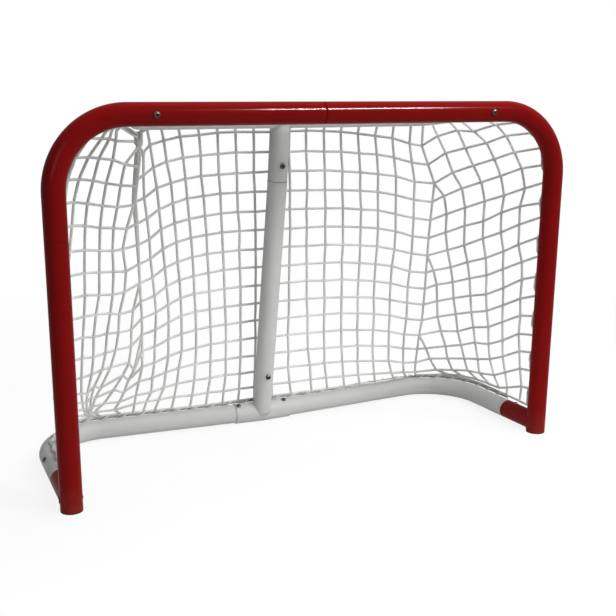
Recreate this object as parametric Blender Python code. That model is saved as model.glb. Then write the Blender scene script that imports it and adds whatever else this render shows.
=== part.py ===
"""A small hockey goal: bolted tube frame, base, middle brace, top bar and knotted net.

Lengths are in metres, +Z is up, the mouth of the goal faces -Y. Places are given in the
goal's own frame: X = 0 at the middle of the mouth, Y = 0 in the plane of the posts, Z = 0 on
the floor. FRONT_Y moves all of it so that the origin is below the middle of the bounding box.
"""

import math

import bmesh
import bpy
from mathutils import Vector

# Driving sizes of the front frame
GOAL_WIDTH = 0.914
GOAL_HEIGHT = 0.610
FRONT_Y = -0.1449
TUBE_RADIUS = 0.0175
TUBE_WALL = 0.0015
CORNER_BEND = 0.110
POST_SEAM_Z = 0.416
BAR_SEAM_X = -0.018
POST_X = GOAL_WIDTH / 2 - TUBE_RADIUS
BAR_Z = GOAL_HEIGHT - TUBE_RADIUS

# Push-fit necks and the gap left between parts
GAP = 0.0003
CUT_PAST = 0.002
NECK_RADIUS = 0.0156
NECK_LENGTH = 0.060
NECK_TAPER = 0.004

# Foot caps
CAP_FLANGE = 0.0013
CAP_EDGE = 0.0006
CAP_PLUG = 0.014

# Base frame
TEE_RADIUS = 0.0192
SLEEVE_BORE = 0.0179
BASE_Z = TEE_RADIUS
BASE_CORNER_X = 0.4305
BASE_CORNER_Y = 0.301
BASE_BEND = 0.1085
SOCKET_END = 0.087
SOCKET_START = 0.003
SOCKET_FLOOR = 0.0195
SOCKET_INSERT = 0.040
TEE_X = -0.0095
TEE_Y = 0.272
TEE_LEFT_X = -0.065
TEE_RIGHT_X = 0.046
TEE_BEND = 0.020
RAIL_END_GAP = 0.003

# Middle brace, in the plane X = BRACE_X, as (Y, Z)
BRACE_X = -0.011
BRACE_TOP = (0.1800, 0.559)
BRACE_KINK = (0.1922, 0.462)
BRACE_LOW = (0.2600, 0.069)
BRACE_KINK_BEND = 0.300
BRACE_TOP_Z = 0.555
UPSTAND_TOP_Z = 0.068
UPSTAND_FLOOR_Z = 0.0415
UPSTAND_NECK = 0.044
STUB_TOP_Z = 0.568
STUB_FLOOR_Z = 0.5575
STUB_LOW_Z = 0.472

# Top bar behind the crossbar
TOP_BAR_RADIUS = 0.0127
TOP_BAR_WALL = 0.0015
TOP_BAR_BEND = 0.035
TOP_BAR_END_Y = 0.0198
TOP_BAR_REAR = (0.172, 0.575)
TOP_BAR_LEFT_X = -0.2725
TOP_BAR_RIGHT_X = 0.277
LEFT_BOLT_X = -0.290
RIGHT_BOLT_X = 0.294
INSERT_RADIUS = 0.0108
INSERT_LENGTH = 0.016
INSERT_THREAD_Y = (0.010, 0.045)

# Fasteners
BOLT_RADIUS = 0.003
BOLT_HOLE = 0.0036
BOLT_HEAD_RADIUS = 0.0052
BOLT_HEAD = 0.0035
NUT_RADIUS = 0.0062
NUT_HEIGHT = 0.0046
CROSSBAR_BOLT_LENGTH = 0.052
SCREW_RADIUS = 0.002
SCREW_HOLE = 0.0026
SCREW_HEAD_RADIUS = 0.0045
SCREW_HEAD = 0.0026
BOLT_SIZE = (BOLT_HEAD_RADIUS, BOLT_HEAD, BOLT_RADIUS)
SCREW_SIZE = (SCREW_HEAD_RADIUS, SCREW_HEAD, SCREW_RADIUS)
SCREW_LENGTH = 0.006
SCREW_HOLE_ABOVE = 0.004
SCREW_HOLE_DEPTH = 0.010
CROSSBAR_HOLE_HALF = 0.024
BRACE_HOLE_HALF = 0.030
BOLT_PAST_NUT = 0.0008
UPPER_BOLT_Z = 0.498
LOWER_BOLT_Z = 0.0975
BRACE_BOLT_SEAT = 0.0017
TEE_SCREW_LEFT_X = -0.0587
TEE_SCREW_RIGHT_X = 0.0347
TEE_SCREW_LEAN = math.radians(24.0)
STUB_SCREW_Y = 0.062
RAIL_SCREW_Y = {-1: 0.155, 1: 0.175}
RAIL_SCREW_RISE = {-1: math.radians(35.0), 1: math.radians(10.0)}

# Net
CORD_RADIUS = 0.0020
LACE_RADIUS = 0.0025
ROPE_START_Y = 0.103
ROPE_LEFT_START_X = -0.397
ROPE_TEE_STEP = (0.020, 0.003, 0.010)
POST_CORD_RISE = 0.004
POST_CORD_END_X = 0.310
CROSSBAR_CORD_ENDS = (-0.262, 0.266)
CROSSBAR_CORD_SLOPE = math.radians(-25.0)
NET_HALF_THICKNESS = 0.0015
NET_STRAND_HALF = 0.0024
NET_BASE_Z = 0.0390
NET_BASE_REACH = 0.0150
NET_LEFT_REACH = -0.0040
NET_LEFT_REACH_Y = (0.190, 0.270)
NET_OVER_SCREW = 0.0035
NET_TOP_Z = 0.5560
NET_BACK_Y = 0.2085
NET_BACK_LEAN = 0.162
NET_POST_Y = 0.0243
NET_POST_LOW_Z = 0.0440
NET_ELBOW_X = 0.318
NET_BASE_END_X = 0.245
LEFT_FOLD_BASE_X = -0.245
RIGHT_FOLD_BASE_X = 0.360
LEFT_FOLD = [(-0.252, 0.2530, 0.236), (-0.263, 0.2160, 0.391), (-0.266, 0.2000, NET_TOP_Z)]
RIGHT_FOLD = [
    (0.337, 0.2540, 0.160),
    (0.320, 0.2130, 0.410),
    (0.319, 0.2060, 0.456),
    (0.275, 0.2000, NET_TOP_Z),
]
NET_TOP_FRONT = ((-0.255, 0.258), 0.0196, BAR_Z - 0.0010)
NET_TOP_REAR = ((-0.232, 0.236), TOP_BAR_REAR[0] - TOP_BAR_RADIUS - 0.0010, TOP_BAR_REAR[1])
BACK_COLUMNS = 12
NET_ROWS = 11
SIDE_COLUMNS = 5
TOP_COLUMNS = 12
TOP_ROWS = 3

# Facets
SIDES = 16
SMALL_SIDES = 12
BEND_STEP = math.radians(10.1)

X_AXIS = Vector((1.0, 0.0, 0.0))
Y_AXIS = Vector((0.0, 1.0, 0.0))
Z_AXIS = Vector((0.0, 0.0, 1.0))


def clear_scene():
    for old in list(bpy.data.objects):
        bpy.data.objects.remove(old, do_unlink=True)


def material(name, colour, roughness, metallic):
    made = bpy.data.materials.new(name)
    made.use_nodes = True
    shader = made.node_tree.nodes["Principled BSDF"]
    shader.inputs["Base Color"].default_value = (*colour, 1.0)
    shader.inputs["Roughness"].default_value = roughness
    shader.inputs["Metallic"].default_value = metallic
    return made


def red_paint(name):
    return material(name, (0.33, 0.012, 0.010), 0.22, 0.1)


def white_paint(name):
    return material(name, (0.62, 0.63, 0.62), 0.32, 0.0)


def zinc(name):
    return material(name, (0.46, 0.46, 0.45), 0.38, 0.9)


def black_plastic(name):
    return material(name, (0.02, 0.02, 0.02), 0.5, 0.0)


def white_cord(name):
    return material(name, (0.80, 0.81, 0.79), 0.75, 0.0)


def add_mesh(name, bm, surface, smooth=True):
    """Turns a bmesh into an object of its own, in the frame of the handed-in part."""
    bmesh.ops.recalc_face_normals(bm, faces=bm.faces)
    bmesh.ops.translate(bm, verts=bm.verts, vec=(0.0, FRONT_Y, 0.0))
    mesh = bpy.data.meshes.new(name)
    bm.to_mesh(mesh)
    bm.free()
    if surface:
        mesh.materials.append(surface)
    if smooth:
        mesh.shade_smooth()
        mesh.set_sharp_from_angle(angle=math.radians(35.0))
    made = bpy.data.objects.new(name, mesh)
    bpy.context.scene.collection.objects.link(made)
    return made


def bent_route(corners, bend):
    """Straight lines through the corners, joined by arcs of the radius bend.

    Each station is (distance along the route, point, direction).
    """
    points = [Vector(corner) for corner in corners]
    stations = [(points[0], (points[1] - points[0]).normalized())]
    for before, corner, after in zip(points, points[1:], points[2:]):
        arriving = (corner - before).normalized()
        leaving = (after - corner).normalized()
        turn = arriving.angle(leaving)
        inward = (leaving - arriving).normalized()
        centre = corner + inward * (bend / math.cos(turn / 2))
        steps = max(2, math.ceil(turn / BEND_STEP))
        across = arriving.cross(leaving).normalized()
        outward = -across.cross(arriving)
        for step in range(steps + 1):
            angle = turn * step / steps
            radial = outward * math.cos(angle) + arriving * math.sin(angle)
            along = arriving * math.cos(angle) - outward * math.sin(angle)
            stations.append((centre + radial * bend, along))
    stations.append((points[-1], (points[-1] - points[-2]).normalized()))
    route = []
    distance = 0.0
    for number, (point, along) in enumerate(stations):
        if number:
            distance += (point - stations[number - 1][0]).length
        route.append((distance, point, along))
    return route


def route_length(route):
    return route[-1][0]


def place_on(route, distance):
    """The point and direction at a distance along the route."""
    if distance <= 0.0:
        _, point, along = route[0]
        return point + along * distance, along
    for (start, point, along), (end, next_point, next_along) in zip(route, route[1:]):
        if distance <= end:
            share = (distance - start) / (end - start)
            return point.lerp(next_point, share), along.lerp(next_along, share).normalized()
    end, point, along = route[-1]
    return point + along * (distance - end), along


def profile_stations(route, profile):
    """Adds the stations of the bends between the points of a (distance, radius) profile."""
    full = [profile[0]]
    for (start, radius), (end, next_radius) in zip(profile, profile[1:]):
        between = [s for s, _, _ in route if min(start, end) + 1e-6 < s < max(start, end) - 1e-6]
        if end < start:
            between.reverse()
        for s in between:
            share = (s - start) / (end - start)
            full.append((s, radius + (next_radius - radius) * share))
        full.append((end, next_radius))
    return full


def add_rings(bm, route, profile, upright, sides):
    rings = []
    for distance, radius in profile_stations(route, profile):
        point, along = place_on(route, distance)
        first = (upright - along * upright.dot(along)).normalized()
        second = along.cross(first)
        ring = []
        for side in range(sides):
            angle = 2 * math.pi * side / sides
            outward = first * math.cos(angle) + second * math.sin(angle)
            ring.append(bm.verts.new(point + outward * radius))
        rings.append(ring)
    return rings


def join_rings(bm, ring, next_ring):
    for side in range(len(ring)):
        after = (side + 1) % len(ring)
        bm.faces.new((ring[side], ring[after], next_ring[after], next_ring[side]))


def pipe(name, route, outer, inner, upright, surface, sides=SIDES):
    """A hollow tube: the outer profile runs forwards and the bore's profile runs back."""
    bm = bmesh.new()
    rings = add_rings(bm, route, outer, upright, sides) + add_rings(bm, route, inner, upright, sides)
    for number, ring in enumerate(rings):
        join_rings(bm, ring, rings[(number + 1) % len(rings)])
    return add_mesh(name, bm, surface)


def rod(name, route, profile, upright, surface=None, sides=SIDES):
    """A solid bar with flat ends."""
    bm = bmesh.new()
    rings = add_rings(bm, route, profile, upright, sides)
    for ring, next_ring in zip(rings, rings[1:]):
        join_rings(bm, ring, next_ring)
    bm.faces.new(rings[0])
    bm.faces.new(rings[-1])
    return add_mesh(name, bm, surface)


def straight(start, end):
    return bent_route([start, end], 0.0)


def shape_with(target, operation, helper):
    """Adds or cuts a helper solid, which stays in the file as a hidden guide."""
    helper.hide_render = True
    helper.display_type = "WIRE"
    change = target.modifiers.new(helper.name, "BOOLEAN")
    change.operation = operation
    change.solver = "EXACT"
    change.object = helper


def drill(target, name, start, end, radius):
    upright = X_AXIS if abs((Vector(end) - Vector(start)).normalized().x) < 0.9 else Z_AXIS
    route = straight(start, end)
    hole = rod(name, route, [(0.0, radius), (route_length(route), radius)], upright, sides=SMALL_SIDES)
    shape_with(target, "DIFFERENCE", hole)


def fastener(name, seat, direction, size, shank):
    """A headed bolt or screw: the underside of its head is at seat, the shank runs along direction."""
    head_radius, head, shank_radius = size
    towards = Vector(direction).normalized()
    start = Vector(seat) - towards * head
    route = straight(start, Vector(seat) + towards * shank)
    profile = [
        (0.0, head_radius * 0.70),
        (head * 0.45, head_radius),
        (head, head_radius),
        (head, shank_radius),
        (head + shank, shank_radius),
    ]
    upright = X_AXIS if abs(towards.x) < 0.9 else Z_AXIS
    rod(name, route, profile, upright, zinc(name + "_zinc"), sides=SMALL_SIDES)


# Routes that several parts share


def side_name(side):
    return "left" if side < 0 else "right"


def frame_corner_route(side, start_z, end_x):
    """Up the post's line, round the corner and along the crossbar."""
    post_x = side * POST_X
    return bent_route([(post_x, 0.0, start_z), (post_x, 0.0, BAR_Z), (end_x, 0.0, BAR_Z)], CORNER_BEND)


def base_side_direction(side):
    return Vector((side * (BASE_CORNER_X - POST_X), BASE_CORNER_Y, 0.0)).normalized()


def base_side_point(side, distance):
    return Vector((side * POST_X, 0.0, BASE_Z)) + base_side_direction(side) * distance


def base_rear_point(side, x):
    share = (x - TEE_X) / (side * BASE_CORNER_X - TEE_X)
    return Vector((x, TEE_Y + (BASE_CORNER_Y - TEE_Y) * share, BASE_Z))


def base_route(side, start, end_x):
    corner = (side * BASE_CORNER_X, BASE_CORNER_Y, BASE_Z)
    return bent_route([base_side_point(side, start), corner, base_rear_point(side, end_x)], BASE_BEND)


def brace_upper_point(z):
    share = (z - BRACE_KINK[1]) / (BRACE_TOP[1] - BRACE_KINK[1])
    return Vector((BRACE_X, BRACE_KINK[0] + (BRACE_TOP[0] - BRACE_KINK[0]) * share, z))


def brace_lower_point(z):
    share = (z - BRACE_KINK[1]) / (BRACE_LOW[1] - BRACE_KINK[1])
    return Vector((BRACE_X, BRACE_KINK[0] + (BRACE_LOW[0] - BRACE_KINK[0]) * share, z))


def top_bar_route():
    left = (TOP_BAR_LEFT_X, *TOP_BAR_REAR)
    right = (TOP_BAR_RIGHT_X, *TOP_BAR_REAR)
    start = (LEFT_BOLT_X, TOP_BAR_END_Y, BAR_Z)
    end = (RIGHT_BOLT_X, TOP_BAR_END_Y, BAR_Z)
    return bent_route([start, left, right, end], TOP_BAR_BEND)


# Front frame


def make_post(side):
    """A post with its push-fit neck and the socket stub of the base welded to its back."""
    name = side_name(side) + "_post"
    foot = (side * POST_X, 0.0, CAP_FLANGE + GAP)
    top = (side * POST_X, 0.0, POST_SEAM_Z + NECK_LENGTH)
    route = straight(foot, top)
    length = route_length(route)
    seam = length - NECK_LENGTH
    bore = TUBE_RADIUS - TUBE_WALL
    neck_bore = NECK_RADIUS - TUBE_WALL
    outside = [(0.0, TUBE_RADIUS), (seam, TUBE_RADIUS), (seam, NECK_RADIUS), (length, NECK_RADIUS)]
    post = rod(name, route, outside, Y_AXIS, red_paint(name + "_red"))
    stub_line = straight(base_side_point(side, SOCKET_START), base_side_point(side, SOCKET_END))
    stub_profile = [(0.0, TUBE_RADIUS), (route_length(stub_line), TUBE_RADIUS)]
    stub = rod(name + "_stub", stub_line, stub_profile, Z_AXIS)
    shape_with(post, "UNION", stub)
    inside = [
        (-CUT_PAST, bore),
        (seam - 2 * NECK_TAPER, bore),
        (seam - NECK_TAPER, neck_bore),
        (length + CUT_PAST, neck_bore),
    ]
    shape_with(post, "DIFFERENCE", rod(name + "_bore", route, inside, Y_AXIS))
    socket_line = straight(base_side_point(side, SOCKET_FLOOR), base_side_point(side, SOCKET_END + CUT_PAST))
    socket = rod(name + "_socket", socket_line, [(0.0, bore), (route_length(socket_line), bore)], Z_AXIS)
    shape_with(post, "DIFFERENCE", socket)
    drill(post, name + "_screw_hole", *stub_screw_hole(side), SCREW_HOLE)


def make_corner(side):
    """The bent elbow with its half of the crossbar."""
    name = side_name(side) + "_corner"
    has_neck = side < 0
    end_x = BAR_SEAM_X + NECK_LENGTH if has_neck else BAR_SEAM_X + GAP
    route = frame_corner_route(side, POST_SEAM_Z + GAP, end_x)
    length = route_length(route)
    bore = TUBE_RADIUS - TUBE_WALL
    if has_neck:
        seam = length - NECK_LENGTH
        neck_bore = NECK_RADIUS - TUBE_WALL
        outer = [(0.0, TUBE_RADIUS), (seam, TUBE_RADIUS), (seam, NECK_RADIUS), (length, NECK_RADIUS)]
        inner = [
            (length, neck_bore),
            (seam - NECK_TAPER, neck_bore),
            (seam - 2 * NECK_TAPER, bore),
            (0.0, bore),
        ]
    else:
        outer = [(0.0, TUBE_RADIUS), (length, TUBE_RADIUS)]
        inner = [(length, bore), (0.0, bore)]
    corner = pipe(name, route, outer, inner, Y_AXIS, red_paint(name + "_red"))
    bolt_x = LEFT_BOLT_X if side < 0 else RIGHT_BOLT_X
    front = (bolt_x, -CROSSBAR_HOLE_HALF, BAR_Z)
    behind = (bolt_x, CROSSBAR_HOLE_HALF, BAR_Z)
    drill(corner, name + "_bolt_hole", front, behind, BOLT_HOLE)


def make_foot_cap(side):
    name = side_name(side) + "_foot_cap"
    route = straight((side * POST_X, 0.0, 0.0), (side * POST_X, 0.0, CAP_PLUG))
    profile = [
        (0.0, TUBE_RADIUS - CAP_EDGE),
        (CAP_EDGE, TUBE_RADIUS),
        (CAP_FLANGE, TUBE_RADIUS),
        (CAP_FLANGE, NECK_RADIUS),
        (CAP_PLUG, NECK_RADIUS),
    ]
    rod(name, route, profile, Y_AXIS, black_plastic(name + "_black"))


# Base frame


def make_base_tube(side):
    """From the neck in the post's socket, round the rear corner and into the tee."""
    name = side_name(side) + "_base_tube"
    start = SOCKET_END - SOCKET_INSERT
    end_x = TEE_X + side * RAIL_END_GAP
    route = base_route(side, start, end_x)
    length = route_length(route)
    shoulder = SOCKET_INSERT + GAP
    bore = TUBE_RADIUS - TUBE_WALL
    neck_bore = NECK_RADIUS - TUBE_WALL
    outer = [(0.0, NECK_RADIUS), (shoulder, NECK_RADIUS), (shoulder, TUBE_RADIUS), (length, TUBE_RADIUS)]
    inner = [
        (length, bore),
        (shoulder + 2 * NECK_TAPER, bore),
        (shoulder + NECK_TAPER, neck_bore),
        (0.0, neck_bore),
    ]
    tube = pipe(name, route, outer, inner, Z_AXIS, white_paint(name + "_white"))
    drill(tube, name + "_stub_hole", *stub_screw_hole(side), SCREW_HOLE)
    drill(tube, name + "_tee_hole", *tee_screw_hole(side), SCREW_HOLE)
    seat, direction = rail_screw_place(side)
    drill(tube, name + "_rail_hole", seat, seat + direction * SCREW_HOLE_DEPTH, SCREW_HOLE)


def make_rear_tee():
    """The sleeve over the ends of both base tubes, with the brace's upstand welded on."""
    name = "rear_tee"
    line = [base_rear_point(-1, TEE_LEFT_X), Vector((TEE_X, TEE_Y, BASE_Z)), base_rear_point(1, TEE_RIGHT_X)]
    route = bent_route(line, TEE_BEND)
    length = route_length(route)
    tee = rod(name, route, [(0.0, TEE_RADIUS), (length, TEE_RADIUS)], Z_AXIS, white_paint(name + "_white"))
    foot = brace_lower_point(BASE_Z + 0.004)
    joint = brace_lower_point(UPSTAND_TOP_Z)
    top = joint + (joint - foot).normalized() * UPSTAND_NECK
    upstand_route = straight(foot, top)
    shoulder = (joint - foot).length
    full = route_length(upstand_route)
    outside = [(0.0, TUBE_RADIUS), (shoulder, TUBE_RADIUS), (shoulder, NECK_RADIUS), (full, NECK_RADIUS)]
    shape_with(tee, "UNION", rod(name + "_upstand", upstand_route, outside, X_AXIS))
    through = [(-CUT_PAST, SLEEVE_BORE), (length + CUT_PAST, SLEEVE_BORE)]
    shape_with(tee, "DIFFERENCE", rod(name + "_bore", route, through, Z_AXIS))
    floor = (brace_lower_point(UPSTAND_FLOOR_Z) - foot).length
    neck_bore = NECK_RADIUS - TUBE_WALL
    well = [(floor, neck_bore), (full + CUT_PAST, neck_bore)]
    shape_with(tee, "DIFFERENCE", rod(name + "_well", upstand_route, well, X_AXIS))
    for side in (-1, 1):
        drill(tee, name + "_screw_hole_" + side_name(side), *tee_screw_hole(side), SCREW_HOLE)
    drill(tee, name + "_bolt_hole", *brace_bolt_hole(LOWER_BOLT_Z), BOLT_HOLE)


# Middle brace and top bar


def make_brace_tube():
    name = "brace_tube"
    foot_z = UPSTAND_TOP_Z + GAP
    corners = [brace_upper_point(BRACE_TOP_Z), brace_upper_point(BRACE_KINK[1]), brace_lower_point(foot_z)]
    route = bent_route(corners, BRACE_KINK_BEND)
    length = route_length(route)
    shoulder = (corners[0] - brace_upper_point(STUB_LOW_Z - GAP)).length
    bore = TUBE_RADIUS - TUBE_WALL
    neck_bore = NECK_RADIUS - TUBE_WALL
    outer = [(0.0, NECK_RADIUS), (shoulder, NECK_RADIUS), (shoulder, TUBE_RADIUS), (length, TUBE_RADIUS)]
    inner = [
        (length, bore),
        (shoulder + 2 * NECK_TAPER, bore),
        (shoulder + NECK_TAPER, neck_bore),
        (0.0, neck_bore),
    ]
    tube = pipe(name, route, outer, inner, X_AXIS, white_paint(name + "_white"))
    drill(tube, name + "_upper_hole", *brace_bolt_hole(UPPER_BOLT_Z), BOLT_HOLE)
    drill(tube, name + "_lower_hole", *brace_bolt_hole(LOWER_BOLT_Z), BOLT_HOLE)


def make_top_bar():
    """The flat U behind the crossbar, with the brace's stub welded under its middle."""
    name = "top_bar"
    route = top_bar_route()
    length = route_length(route)
    bore = TOP_BAR_RADIUS - TOP_BAR_WALL
    outside = [(0.0, TOP_BAR_RADIUS), (length, TOP_BAR_RADIUS)]
    bar = rod(name, route, outside, Z_AXIS, white_paint(name + "_white"))
    stub_line = straight(brace_upper_point(STUB_TOP_Z), brace_upper_point(STUB_LOW_Z))
    stub_length = route_length(stub_line)
    stub_profile = [(0.0, TUBE_RADIUS), (stub_length, TUBE_RADIUS)]
    shape_with(bar, "UNION", rod(name + "_stub", stub_line, stub_profile, X_AXIS))
    hollow = [(-CUT_PAST, bore), (length + CUT_PAST, bore)]
    shape_with(bar, "DIFFERENCE", rod(name + "_bore", route, hollow, Z_AXIS))
    floor = (brace_upper_point(STUB_TOP_Z) - brace_upper_point(STUB_FLOOR_Z)).length
    well = [(floor, NECK_RADIUS + GAP), (stub_length + CUT_PAST, NECK_RADIUS + GAP)]
    shape_with(bar, "DIFFERENCE", rod(name + "_well", stub_line, well, X_AXIS))
    drill(bar, name + "_bolt_hole", *brace_bolt_hole(UPPER_BOLT_Z), BOLT_HOLE)


def make_bar_insert(side):
    """The threaded plug in an end of the top bar."""
    name = "top_bar_insert_" + side_name(side)
    route = top_bar_route()
    if side < 0:
        start, end = 2 * GAP, 2 * GAP + INSERT_LENGTH
    else:
        end = route_length(route) - 2 * GAP
        start = end - INSERT_LENGTH
    profile = [(start, INSERT_RADIUS), (end, INSERT_RADIUS)]
    insert = rod(name, route, profile, Z_AXIS, zinc(name + "_zinc"))
    bolt_x = LEFT_BOLT_X if side < 0 else RIGHT_BOLT_X
    front, behind = INSERT_THREAD_Y
    drill(insert, name + "_thread", (bolt_x, front, BAR_Z), (bolt_x, behind, BAR_Z), BOLT_HOLE)


# Fasteners


def stub_screw_seat(side):
    return base_side_point(side, STUB_SCREW_Y) + Z_AXIS * (TUBE_RADIUS + GAP)


def stub_screw_hole(side):
    seat = stub_screw_seat(side)
    return seat + Z_AXIS * SCREW_HOLE_ABOVE, seat - Z_AXIS * SCREW_HOLE_DEPTH


def tee_screw_outward(side):
    """Square to the base tube, up and leaning to the front."""
    along = (base_rear_point(side, 1.0) - base_rear_point(side, 0.0)).normalized()
    return Z_AXIS * math.cos(TEE_SCREW_LEAN) + along.cross(Z_AXIS) * math.sin(TEE_SCREW_LEAN)


def tee_screw_seat(side):
    x = TEE_SCREW_LEFT_X if side < 0 else TEE_SCREW_RIGHT_X
    return base_rear_point(side, x) + tee_screw_outward(side) * (TEE_RADIUS + GAP)


def tee_screw_hole(side):
    seat = tee_screw_seat(side)
    outward = tee_screw_outward(side)
    return seat + outward * SCREW_HOLE_ABOVE, seat - outward * SCREW_HOLE_DEPTH


def rail_screw_place(side):
    """Seat and inward direction of the screw in the outer flank of a base tube."""
    away = base_side_direction(side).cross(Z_AXIS) * side
    rise = RAIL_SCREW_RISE[side]
    outward = away * math.cos(rise) + Z_AXIS * math.sin(rise)
    return base_side_point(side, RAIL_SCREW_Y[side]) + outward * (TUBE_RADIUS + GAP), -outward


def brace_point(z):
    return brace_upper_point(z) if z > BRACE_KINK[1] else brace_lower_point(z)


def brace_bolt_hole(z):
    middle = brace_point(z)
    return middle - Y_AXIS * BRACE_HOLE_HALF, middle + Y_AXIS * BRACE_HOLE_HALF


def make_crossbar_bolt(side):
    name = "crossbar_bolt_" + side_name(side)
    bolt_x = LEFT_BOLT_X if side < 0 else RIGHT_BOLT_X
    seat = (bolt_x, -TUBE_RADIUS - GAP, BAR_Z)
    fastener(name, seat, Y_AXIS, BOLT_SIZE, CROSSBAR_BOLT_LENGTH)


def make_brace_bolt(label, z):
    """A bolt through the brace along Y, with its nut behind."""
    middle = brace_point(z)
    seat = middle - Y_AXIS * (TUBE_RADIUS + BRACE_BOLT_SEAT)
    nut_start = middle + Y_AXIS * (TUBE_RADIUS + BRACE_BOLT_SEAT)
    shank = (nut_start - seat).length + NUT_HEIGHT + BOLT_PAST_NUT
    fastener(label + "_bolt", seat, Y_AXIS, BOLT_SIZE, shank)
    nut_name = label + "_nut"
    nut_route = straight(nut_start, nut_start + Y_AXIS * NUT_HEIGHT)
    outside = [(0.0, NUT_RADIUS), (NUT_HEIGHT, NUT_RADIUS)]
    inside = [(NUT_HEIGHT, BOLT_HOLE), (0.0, BOLT_HOLE)]
    pipe(nut_name, nut_route, outside, inside, X_AXIS, zinc(nut_name + "_zinc"), sides=6)


def make_screws(side):
    label = side_name(side)
    rail_seat, rail_direction = rail_screw_place(side)
    places = [
        ("stub_screw_" + label, stub_screw_seat(side), -Z_AXIS),
        ("tee_screw_" + label, tee_screw_seat(side), -tee_screw_outward(side)),
        ("rail_screw_" + label, rail_seat, rail_direction),
    ]
    for name, seat, direction in places:
        fastener(name, seat, direction, SCREW_SIZE, SCREW_LENGTH)


# Net


def net_base_reach(side, y):
    """How far outside the middle of the base tube the net's lower edge lies.

    The left edge lies on top of its tube as far as the bend.
    """
    if side > 0:
        return NET_BASE_REACH
    start, end = NET_LEFT_REACH_Y
    share = min(1.0, max(0.0, (y - start) / (end - start)))
    return NET_LEFT_REACH + (NET_BASE_REACH - NET_LEFT_REACH) * share


def net_base_line(side):
    """The net's lower edge on one side: from the post along the base tube, as far as the fold."""
    fold_x = abs(LEFT_FOLD_BASE_X if side < 0 else RIGHT_FOLD_BASE_X)
    points = [Vector((side * POST_X, NET_POST_Y, NET_POST_LOW_Z))]
    for _, point, along in base_route(side, SOCKET_END, side * NET_BASE_END_X):
        away = along.cross(Z_AXIS) * side
        edge = Vector((point.x, point.y, NET_BASE_Z)) + away * net_base_reach(side, point.y)
        points.append(edge)
    if side < 0:
        points[1].z += NET_OVER_SCREW
    while abs(points[-2].x) < fold_x:
        points.pop()
    before, after = points[-2:]
    points[-1] = before.lerp(after, (abs(before.x) - fold_x) / (abs(before.x) - abs(after.x)))
    return points


def share_of_line(points, share):
    """The point at a share of the length of a line through the points."""
    left = share * sum((after - before).length for before, after in zip(points, points[1:]))
    for before, after in zip(points, points[1:]):
        length = (after - before).length
        if left <= length:
            return before.lerp(after, left / length)
        left -= length
    return points[-1]


def fold_point(side, rise):
    """The fold between the back and a side of the net, rise going from 0 at the base to 1."""
    base = net_base_line(side)[-1]
    points = [base] + [Vector(point) for point in (LEFT_FOLD if side < 0 else RIGHT_FOLD)]
    z = base.z + (NET_TOP_Z - base.z) * rise
    for low, high in zip(points, points[1:]):
        if z <= high.z:
            return low.lerp(high, (z - low.z) / (high.z - low.z))
    return points[-1]


def net_back_surface(across, rise):
    """Level with the folds at its edges and leaning behind the brace between them."""
    left = fold_point(-1, rise)
    point = left.lerp(fold_point(1, rise), across)
    leaning = NET_BACK_Y + (NET_TOP_Z - point.z) * NET_BACK_LEAN
    reach = min(1.0, min(across, 1.0 - across) * 5.0)
    eased = reach * reach * (3.0 - 2.0 * reach)
    point.y += (leaning - point.y) * eased
    return point


def net_side_surface(side):
    """A patch between the post's line, the base, the fold and the top bar's arm."""
    front_route = frame_corner_route(side, NET_POST_LOW_Z, side * NET_ELBOW_X)
    front_line = [point + Y_AXIS * NET_POST_Y for _, point, _ in front_route]
    base_line = net_base_line(side)
    apart = X_AXIS * side * 3 * NET_HALF_THICKNESS

    def surface(across, rise):
        front = share_of_line(front_line, rise)
        fold = fold_point(side, rise)
        low = share_of_line(base_line, across)
        high = front_line[-1].lerp(fold_point(side, 1.0), across)
        between = front.lerp(fold, across) + low.lerp(high, rise)
        corners = base_line[0].lerp(base_line[-1], across).lerp(high, rise)
        return between - corners + apart * across

    return surface


def net_top_surface(across, depth):
    """Between the crossbar and the rear run of the top bar."""
    edges = []
    for (left_x, right_x), y, z in (NET_TOP_FRONT, NET_TOP_REAR):
        edges.append(Vector((left_x + (right_x - left_x) * across, y, z)))
    return edges[0].lerp(edges[1], depth)


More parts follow.
